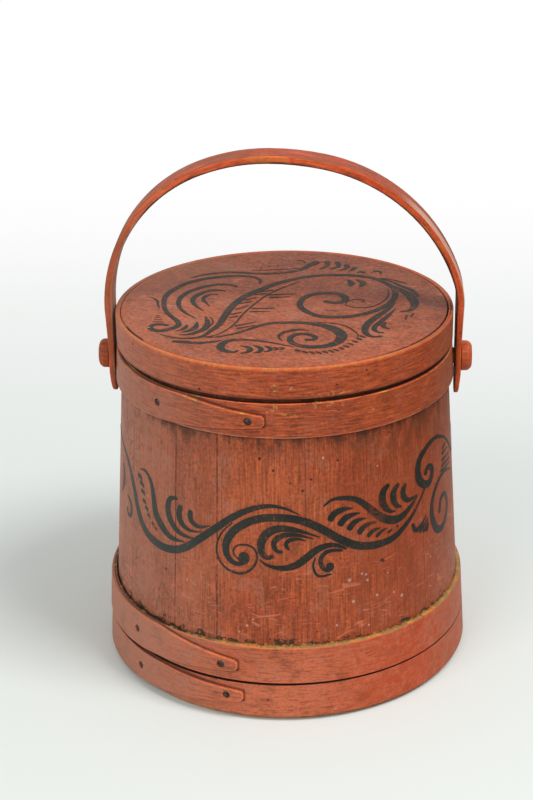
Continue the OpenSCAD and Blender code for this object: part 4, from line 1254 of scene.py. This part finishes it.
# the middle hoop's upper face holds old ochre and dirt, and the joint under it is painted dark:
# painted shade in the gap between the hoops, and dirt
def hoopCoats(tree, place, grain, color):
    depth = onWall(tree)[2]
    x, y, z = apart(objectPlace(tree))
    up = ramp(attribute(tree, "upFace"), 0.55, 0.85)
    dirt = noiseAt(place, 130, 5, 0.68)
    blobs = noiseAt(place, 60, 3, 0.6)
    inner = ramp(scaled(dirt, 2.4 * mm, depth), -2.3 * mm, -1.2 * mm)
    onMiddle = times(ramp(z, 45 * mm, 49 * mm), up)
    right = ramp(scaled(blobs, 30 * mm, x), -50 * mm, -15 * mm)
    crud = blend(ramp(dirt, 0.38, 0.55), "ochre", "olive")
    crud = blend(ramp(blobs, 0.55, 0.62), crud, "amber")
    grit = noiseAt(place, 520, 3, 0.6)
    crud = blend(ramp(grit, 0.48, 0.62), crud, "olive")
    crud = blend(ramp(grit, 0.60, 0.70), crud, "umber")
    crud = blend(right, blend(ramp(dirt, 0.50, 0.60), "grimeAndShade", "olive"), crud)
    color = lay(color, crud, onMiddle, inner)
    color = fingerDirtAndShade(fingerDirtAndShade(color, hoops["middle"]), hoops["base"])
    # painted shade in the gap between the middle and base hoops, with dirt
    joint = times(ramp(z, 28.5 * mm, 27.0 * mm), ramp(z, 24.6 * mm, 25.4 * mm))
    return lay(color, "poreAndShade", joint, ramp(depth, -3.6 * mm, -3.25 * mm), up, 0.95)


# the underside is painted dark as painted shade, turning to a pale painted highlight towards the
# left leg; the outer face is darker and duller
def handleCoats(tree, place, grain, color):
    along, across, out = apart(attribute(tree, "alongStrip", "Vector"))
    rubbing = noiseAt(stretched(attribute(tree, "alongStrip", "Vector"), (0.25, 1, 1)), 130, 4,
                      0.65)
    edge = scaled(rubbing, 3.4 * mm, out)
    x = apart(objectPlace(tree))[0]
    undersideShade = blend(ramp(x, -86 * mm, -104 * mm, (0.0, 0.8)), "shadeBrown", "paleHighlight")
    color = lay(color, undersideShade, ramp(edge, 0.9 * mm, -0.3 * mm), 0.9)
    outside = ramp(out, 1.9 * mm, 2.3 * mm)
    color = lay(color, "dull", outside, ramp(rubbing, 0.30, 0.55), 0.7)
    # a pale painted highlight along the outer face at the right
    streak = times(ramp(across, 3 * mm, -2 * mm), ramp(x, 72 * mm, 92 * mm))
    color = lay(color, "paleHighlight", outside, streak, ramp(rubbing, 0.15, 0.42), 0.9)
    # painted shade on the inner face, in broken dark marks
    worn = noiseAt(grain, 420, 4, 0.65)
    color = lay(color, "dark", ramp(worn, 0.52, 0.66), ramp(out, 1.6 * mm, -1.4 * mm), 0.6)
    return lay(color, "dull", ramp(x, -94 * mm, -110 * mm), ramp(rubbing, 0.25, 0.50), 0.5)


def lidCoats(tree, place, grain, color):  # painted shade: the lid is painted darker towards the back and right
    x, y, z = apart(place)
    back = ramp(scaled(x, 0.45, y), -50 * mm, 110 * mm)
    color = blend(times(back, 0.9), color, srgb(194, 194, 192), "MULTIPLY")
    reach = distance(stretched(place, (1, 1, 0)), (0, 0, 0))
    crack = distance(place, (-96 * mm, -55 * mm, lid["top"]))
    opened = most(ramp(crack, 17 * mm, 12 * mm), ramp(x, 45 * mm, 85 * mm, (0.25, 0.9)))
    color = lay(color, "poreAndShade", ramp(reach, 106.7 * mm, 107.5 * mm), opened)
    dulled = distance(place, (-62 * mm, 58 * mm, lid["top"]))
    soil = noiseAt(place, 70, 5, 0.68)
    color = lay(color, "dull", ramp(dulled, 46 * mm, 10 * mm), ramp(soil, 0.38, 0.58), 0.55)
    for turn, shift in ((-20, 0.4), (-48, 1.9), (-34, 3.2)):  # knife and dish marks
        color = lay(color, "dark", scratched(place, turn, shift), 0.8)
    for turn, shift in ((10, 7.3), (-62, 8.8)):
        color = lay(color, "scratch", scratched(place, turn, shift), 0.4)
    return color


def scratched(place, turn, shift):  # thin wandering lines, each only a short way
    turned = stretched(place, (0.16, 1, 1), turn, (shift, shift, 0))
    line = awayFrom(noiseAt(turned, 80, 1, 0.4, 0.2), 0.5)
    short = ramp(noiseAt(stretched(place, (1, 1, 1), 0, (shift, 0, 0)), 62, 2), 0.57, 0.66)
    return times(ramp(line, 0.016, 0.004), short)


# how dark the dirt is in a seam at these degrees
seamDirt = {-150: 0.6, -126: 0.7, -110: 1.0, -81: 0.1, -60: 0.15, -36: 0.1, -12: 0.3, 168: 0.5,
            60: 0.5, 123: 0.6}
# drops of pale paint and worm holes: degrees round the wall, mm up it, mm across
wallDrops = ((-61.1, 96.7, 2.2), (-60.7, 92.5, 2.6), (-67, 95.4, 3.0), (-62.6, 98, 1.7),
             (-57.3, 80.1, 2.4), (-47.5, 73.3, 2.6), (-65.8, 79.7, 2.4), (-52.9, 93.2, 1.5),
             (-50.7, 77.9, 1.7), (-71.5, 64.8, 1.6), (-60.6, 60.3, 1.5), (-75, 181.6, 2.0),
             (-55.9, 169.4, 1.4), (-28, 71.7, 1.8), (-32.1, 88.9, 1.6), (-100, 66, 2.0),
             (-102.5, 61, 1.8), (-98, 71, 1.5), (-121, 90, 1.4), (40, 84, 2.4), (58, 120, 2.0),
             (112, 70, 2.6), (150, 96, 2.2))
wallPits = ((-95.6, 182.2, 2.7), (-91.2, 174.3, 2.1), (-85.7, 165.9, 1.5), (-79.1, 167.9, 1.8),
            (-81.8, 160.5, 2.3), (-70.2, 178.8, 1.9), (-55.1, 103.6, 2.6), (-54.4, 102.8, 2.2),
            (-50.9, 189.9, 1.8), (-130, 92, 1.6), (20, 150, 2.0), (77, 90, 1.8), (140, 170, 2.2),
            (-96.7, 1.6, 3.6), (-94.8, 1.8, 2.6), (-88.3, 1.6, 3.4))
# where old ochre shows through: degrees, mm up, mm across
rimFlecks = ((-90.2, 230.3, 5.5), (-85.5, 230.6, 4), (-76, 224.4, 4.5), (-72.5, 224.5, 5),
             (-69, 224.6, 5), (-66, 225, 5.5))
rimPits = ((-115.4, 224.9, 2.2), (-60.5, 237, 1.4))
hoopFlecks = ((-90.8, 217.4, 6), (-87.5, 214.2, 5), (-84.6, 212.4, 4.5), (-77.5, 218.6, 7),
              (-73, 218.8, 6), (-69.6, 217.8, 6), (-63, 216, 5), (-58.4, 209.5, 4.5))
wallKnot = {"turn": -121.8, "up": 188.8 * mm, "rings": (3.5 * mm, 1.7 * mm)}


def spotted(place, spots, ragged):  # uneven round marks at given places
    near = None
    for turn, up, wide in spots:
        spot = (math.radians(turn) * wall["footR"], up * mm, 0)
        far = distance(place, spot)
        far = sums("DIVIDE", far, wide * mm / 2)
        near = far if near is None else sums("MINIMUM", near, far)
    return ramp(scaled(ragged, 1.6, near), 1.95, 1.45)


def flecked(color, place, spots):  # bits of ochre, drawn out along the strip
    bits = noiseAt(stretched(place, (0.6, 1, 1)), 430, 4, 0.65)
    within = spotted(place, spots, noiseAt(place, 240, 3, 0.6))
    return lay(color, "ochre", within, ramp(bits, 0.51, 0.59), 0.62)


def staveCoats(tree, place, grain, color):
    along, height, depth = onWall(tree)
    x = apart(objectPlace(tree))[0]
    ragged = noiseAt(place, 160, 4, 0.66)
    patchy = noiseAt(place, 26, 3)
    left = ramp(x, -15 * mm, -110 * mm)
    panel = noiseAt(stretched(place, (1, 0.3, 1)), 52, 4, 0.62)
    color = lay(color, "umber", ramp(panel, 0.50, 0.66), 0.28)
    color = lay(color, "light", ramp(panel, 0.46, 0.32), 0.16)
    # fine cracks, most of them at the left, and a few splits along the grain
    cracks = wire(tree, "ShaderNodeTexVoronoi",
                  {"Vector": stretched(place, (1, 0.5, 0)), "Scale": 340.0},
                  feature="DISTANCE_TO_EDGE").outputs[0]
    color = lay(color, "poreAndShade", ramp(cracks, 0.09, 0.02), ramp(patchy, 0.42, 0.60),
                scaled(left, 0.32, 0.12))
    splits = noiseAt(stretched(place, (1, 0.045, 1)), 420, 2, 0.5)
    color = lay(color, "poreAndShade", ramp(splits, 0.70, 0.75), ramp(ragged, 0.45, 0.6), 0.8)
    for turn, strength in seamDirt.items():
        near = awayFrom(along, math.radians(turn) * wall["footR"])
        color = lay(color, "poreAndShade", ramp(near, 0.6 * mm, 0.15 * mm), ramp(ragged, 0.34, 0.54),
                    strength)
    # under the upper hoop: painted shade, broken into runs like dirt, and a painted shadow line
    # just under its lower edge; lower down at the right, a dirt stain
    runs = noiseAt(stretched(place, (1, 0.5, 1)), 110, 6, 0.7)
    color = lay(color, "dark", ramp(height, 172 * mm, 197 * mm), ramp(runs, 0.42, 0.62), 0.62)
    color = lay(color, "shadeBrown", ramp(height, 186 * mm, 196 * mm), ramp(runs, 0.42, 0.62),
                ramp(x, 80 * mm, 10 * mm, (0.3, 0.65)))
    color = lay(color, "poreAndShade", ramp(height, 193.6 * mm, 196.8 * mm), 0.65)
    stain = times(ramp(height, 140 * mm, 192 * mm), ramp(x, 15 * mm, 88 * mm))
    color = lay(color, "dark", stain, ramp(runs, 0.36, 0.60), 0.5)
    fromKnot = distance(place, (math.radians(wallKnot["turn"]) * wall["footR"], wallKnot["up"], 0))
    for ring in wallKnot["rings"]:
        near = awayFrom(fromKnot, ring)
        color = lay(color, "dark", ramp(near, 0.9 * mm, 0.2 * mm), ramp(ragged, 0.35, 0.55), 0.6)
    # pale smears, scratches and drops, most of them low down
    lower = ramp(height, 140 * mm, 80 * mm)
    smear = noiseAt(stretched(place, (0.5, 1, 1), 15), 190, 4, 0.7, 0.5)
    color = lay(color, "scratch", ramp(smear, 0.58, 0.74), ramp(patchy, 0.50, 0.64), lower, 0.4)
    for turn, shift in ((6, 0.3), (-22, 1.7), (14, 2.9), (58, 4.1), (-8, 5.3), (32, 6.7)):
        color = lay(color, "scratch", scratched(place, turn, shift), lower, 0.6)
    color = lay(color, "speck", spotted(place, wallDrops, ragged), 0.52)
    color = lay(color, "poreAndShade", spotted(place, wallPits, ragged), 0.9)
    # ochre and dirt in the corner above the middle hoop, with painted shade in the crevice along
    # the hoop
    above = minus(height, scaled(x, -0.005, 52.4 * mm))
    rough = noiseAt(place, 210, 5, 0.7)
    clumps = noiseAt(place, 85, 3, 0.6)
    grimeAndShadeTop = scaled(ragged, 9 * mm, -3.1 * mm)
    grimeAndShadeTop = scaled(most(minus(clumps, 0.50), 0.0), 36 * mm, grimeAndShadeTop)
    grimeAndShadeTop = scaled(left, -1.4 * mm, grimeAndShadeTop)
    color = lay(color, "grimeAndShade", ramp(minus(grimeAndShadeTop, above), -0.5 * mm, 0.5 * mm),
                ramp(rough, 0.38, 0.52), 0.92)
    dashes = noiseAt(stretched(place, (0.4, 1, 1)), 300, 3, 0.6)
    color = lay(color, "grimeAndShade", ramp(dashes, 0.62, 0.69), ramp(height, 74 * mm, 57 * mm),
                ramp(clumps, 0.42, 0.58), 0.75)
    ochreTop = scaled(rough, 9 * mm, -3.6 * mm)
    ochreTop = scaled(left, -3 * mm, ochreTop)
    grit = noiseAt(place, 520, 3, 0.6)
    crud = blend(ramp(ragged, 0.45, 0.6), "ochre", "amber")
    crud = blend(ramp(grit, 0.45, 0.6), crud, "olive")
    crud = blend(ramp(grit, 0.60, 0.68), crud, "umber")
    color = lay(color, crud, ramp(minus(ochreTop, above), -0.3 * mm, 0.5 * mm), 0.9)
    # painted shade: the wall behind the two lower hoops is painted dark, where it shows in the gap
    # between them
    joint = times(ramp(height, 33 * mm, 31 * mm), ramp(height, 3.2 * mm, 6 * mm))
    color = lay(color, "poreAndShade", joint, 0.95)
    # bare wood inside and on the ends
    inside = most(ramp(depth, 3 * mm, 4 * mm), ramp(height, 233.2 * mm, 233.8 * mm))
    wood = blend(ramp(noiseAt(grain, 320, 5, 0.65), 0.35, 0.7), "bare", "bareDark")
    return lay(color, wood, inside)


def makeScrollPaint(name, grainOf):  # dark brushed paint, worn along the grain down to the red
    material, tree = freshMaterial(name)
    place = objectPlace(tree)
    grain = stretched(stretched(place, (1, 1, 1), grainOf.get("turn", 0)), grainOf["stretch"])
    fine = noiseAt(grain, 640, 4, 0.68)
    broad = noiseAt(place, 60, 4, 0.6)
    crackle = noiseAt(place, 520, 4, 0.7)
    color = blend(ramp(broad, 0.35, 0.7), "scroll", "scrollWorn")
    color = lay(color, grainOf["red"], ramp(fine, 0.55, 0.70),
                ramp(broad, 0.42, 0.62, (0.12, 0.7)))
    color = lay(color, grainOf["red"], ramp(crackle, 0.58, 0.72),
                ramp(broad, 0.54, 0.42, (0.08, 0.32)))
    if "flat" not in grainOf:
        color = lay(color, grainOf["red"], ramp(crackle, 0.50, 0.64), ramp(fine, 0.44, 0.60), 0.62)
    # painted reflection: the scrolls are painted greyer towards the left
    color = lay(color, "sheenGrey", ramp(apart(place)[0], 10 * mm, -108 * mm), grainOf["pale"] * 0.42)
    if "flat" in grainOf:
        away = distance(place, polar(wallR(138 * mm), -57, 138 * mm))
        color = lay(color, "umber", ramp(away, 13 * mm, 4 * mm), ramp(crackle, 0.40, 0.55), 0.45)
    specks = useGroup(tree, sprinkle,
                      {"Place": place, "Scale": 70.0, "Size": 0.07, "Share": 0.10})[0]
    color = lay(color, "speck", specks, 0.7)
    surface(color, scaled(fine, 0.2, 0.36), fine, 0.06 * mm, 0.0,
            0.2 if "flat" in grainOf else 0.08)
    return material


def makeIron(name, cover, metal):  # cover: how much red paint is left on it
    material, tree = freshMaterial(name)
    rust = noiseAt(objectPlace(tree), 700, 4)
    color = blend(ramp(rust, 0.42, 0.62), "iron", "rust")
    color = lay(color, looks["rim"]["red"], ramp(rust, 0.68, 0.52, (0.4, 1.0)), cover)
    surface(color, 0.45, rust, 0.1 * mm, metal)
    return material


def makeBareWood():
    material, tree = freshMaterial("bareWood")
    grain = noiseAt(stretched(objectPlace(tree), (0.06, 1, 1)), 300, 5, 0.65)
    surface(blend(ramp(grain, 0.35, 0.7), "bare", "bareDark"), 0.7, grain)
    return material


finishes = {"iron": makeIron("darkIron", 0.0, 0.4), "brad": makeIron("paintedIron", 0.85, 0.0),
            "bare": makeBareWood(),
            "wallScroll": makeScrollPaint("wallScrollPaint", looks["stave"]),
            "lidScroll": makeScrollPaint("lidScrollPaint", looks["lid"])}
pieceCoats = {"stave": staveCoats, "hoop": hoopCoats, "upperHoop": upperHoopCoats, "rim": rimCoats,
              "lid": lidCoats, "handle": handleCoats, "peg": pegCoats}
for label, coats in pieceCoats.items():
    finishes[label] = makePaint(label + "Paint", looks[label], coats)

for i, stave in enumerate(staves):
    finishPiece(stave, finishes["stave"], "bucket", "painted_staves", "stave_%02d" % (i + 1))
for label, piece in hoopPieces.items():
    finishPiece(piece, finishes["upperHoop" if label == "upper" else "hoop"], "bucket",
                "painted_hoops", label + "_hoop")
    finishPiece(nailPieces[label], finishes["iron"], "bucket", "iron_nails", label + "_hoop_nails")
for side, piece in pegs.items():
    finishPiece(piece, finishes["peg"], "bucket", "painted_pegs", "handle_peg_" + side)
finishPiece(lidBoard, finishes["lid"], "lid", "painted_lid", "lid_board")
finishPiece(lidRim, finishes["rim"], "lid", "painted_lid", "lid_rim")
finishPiece(lidBrads, finishes["brad"], "lid", "iron_nails", "lid_nails")
finishPiece(wallScrolls, finishes["wallScroll"], "bucket", None)
finishPiece(lidScrolls, finishes["lidScroll"], "lid", None)
finishPiece(handle, finishes["handle"], "handle", "painted_handle", "handle")
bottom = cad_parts["bottom_board"]
bottom.data.materials.clear()
bottom.data.materials.append(finishes["bare"])
print("finishes set")
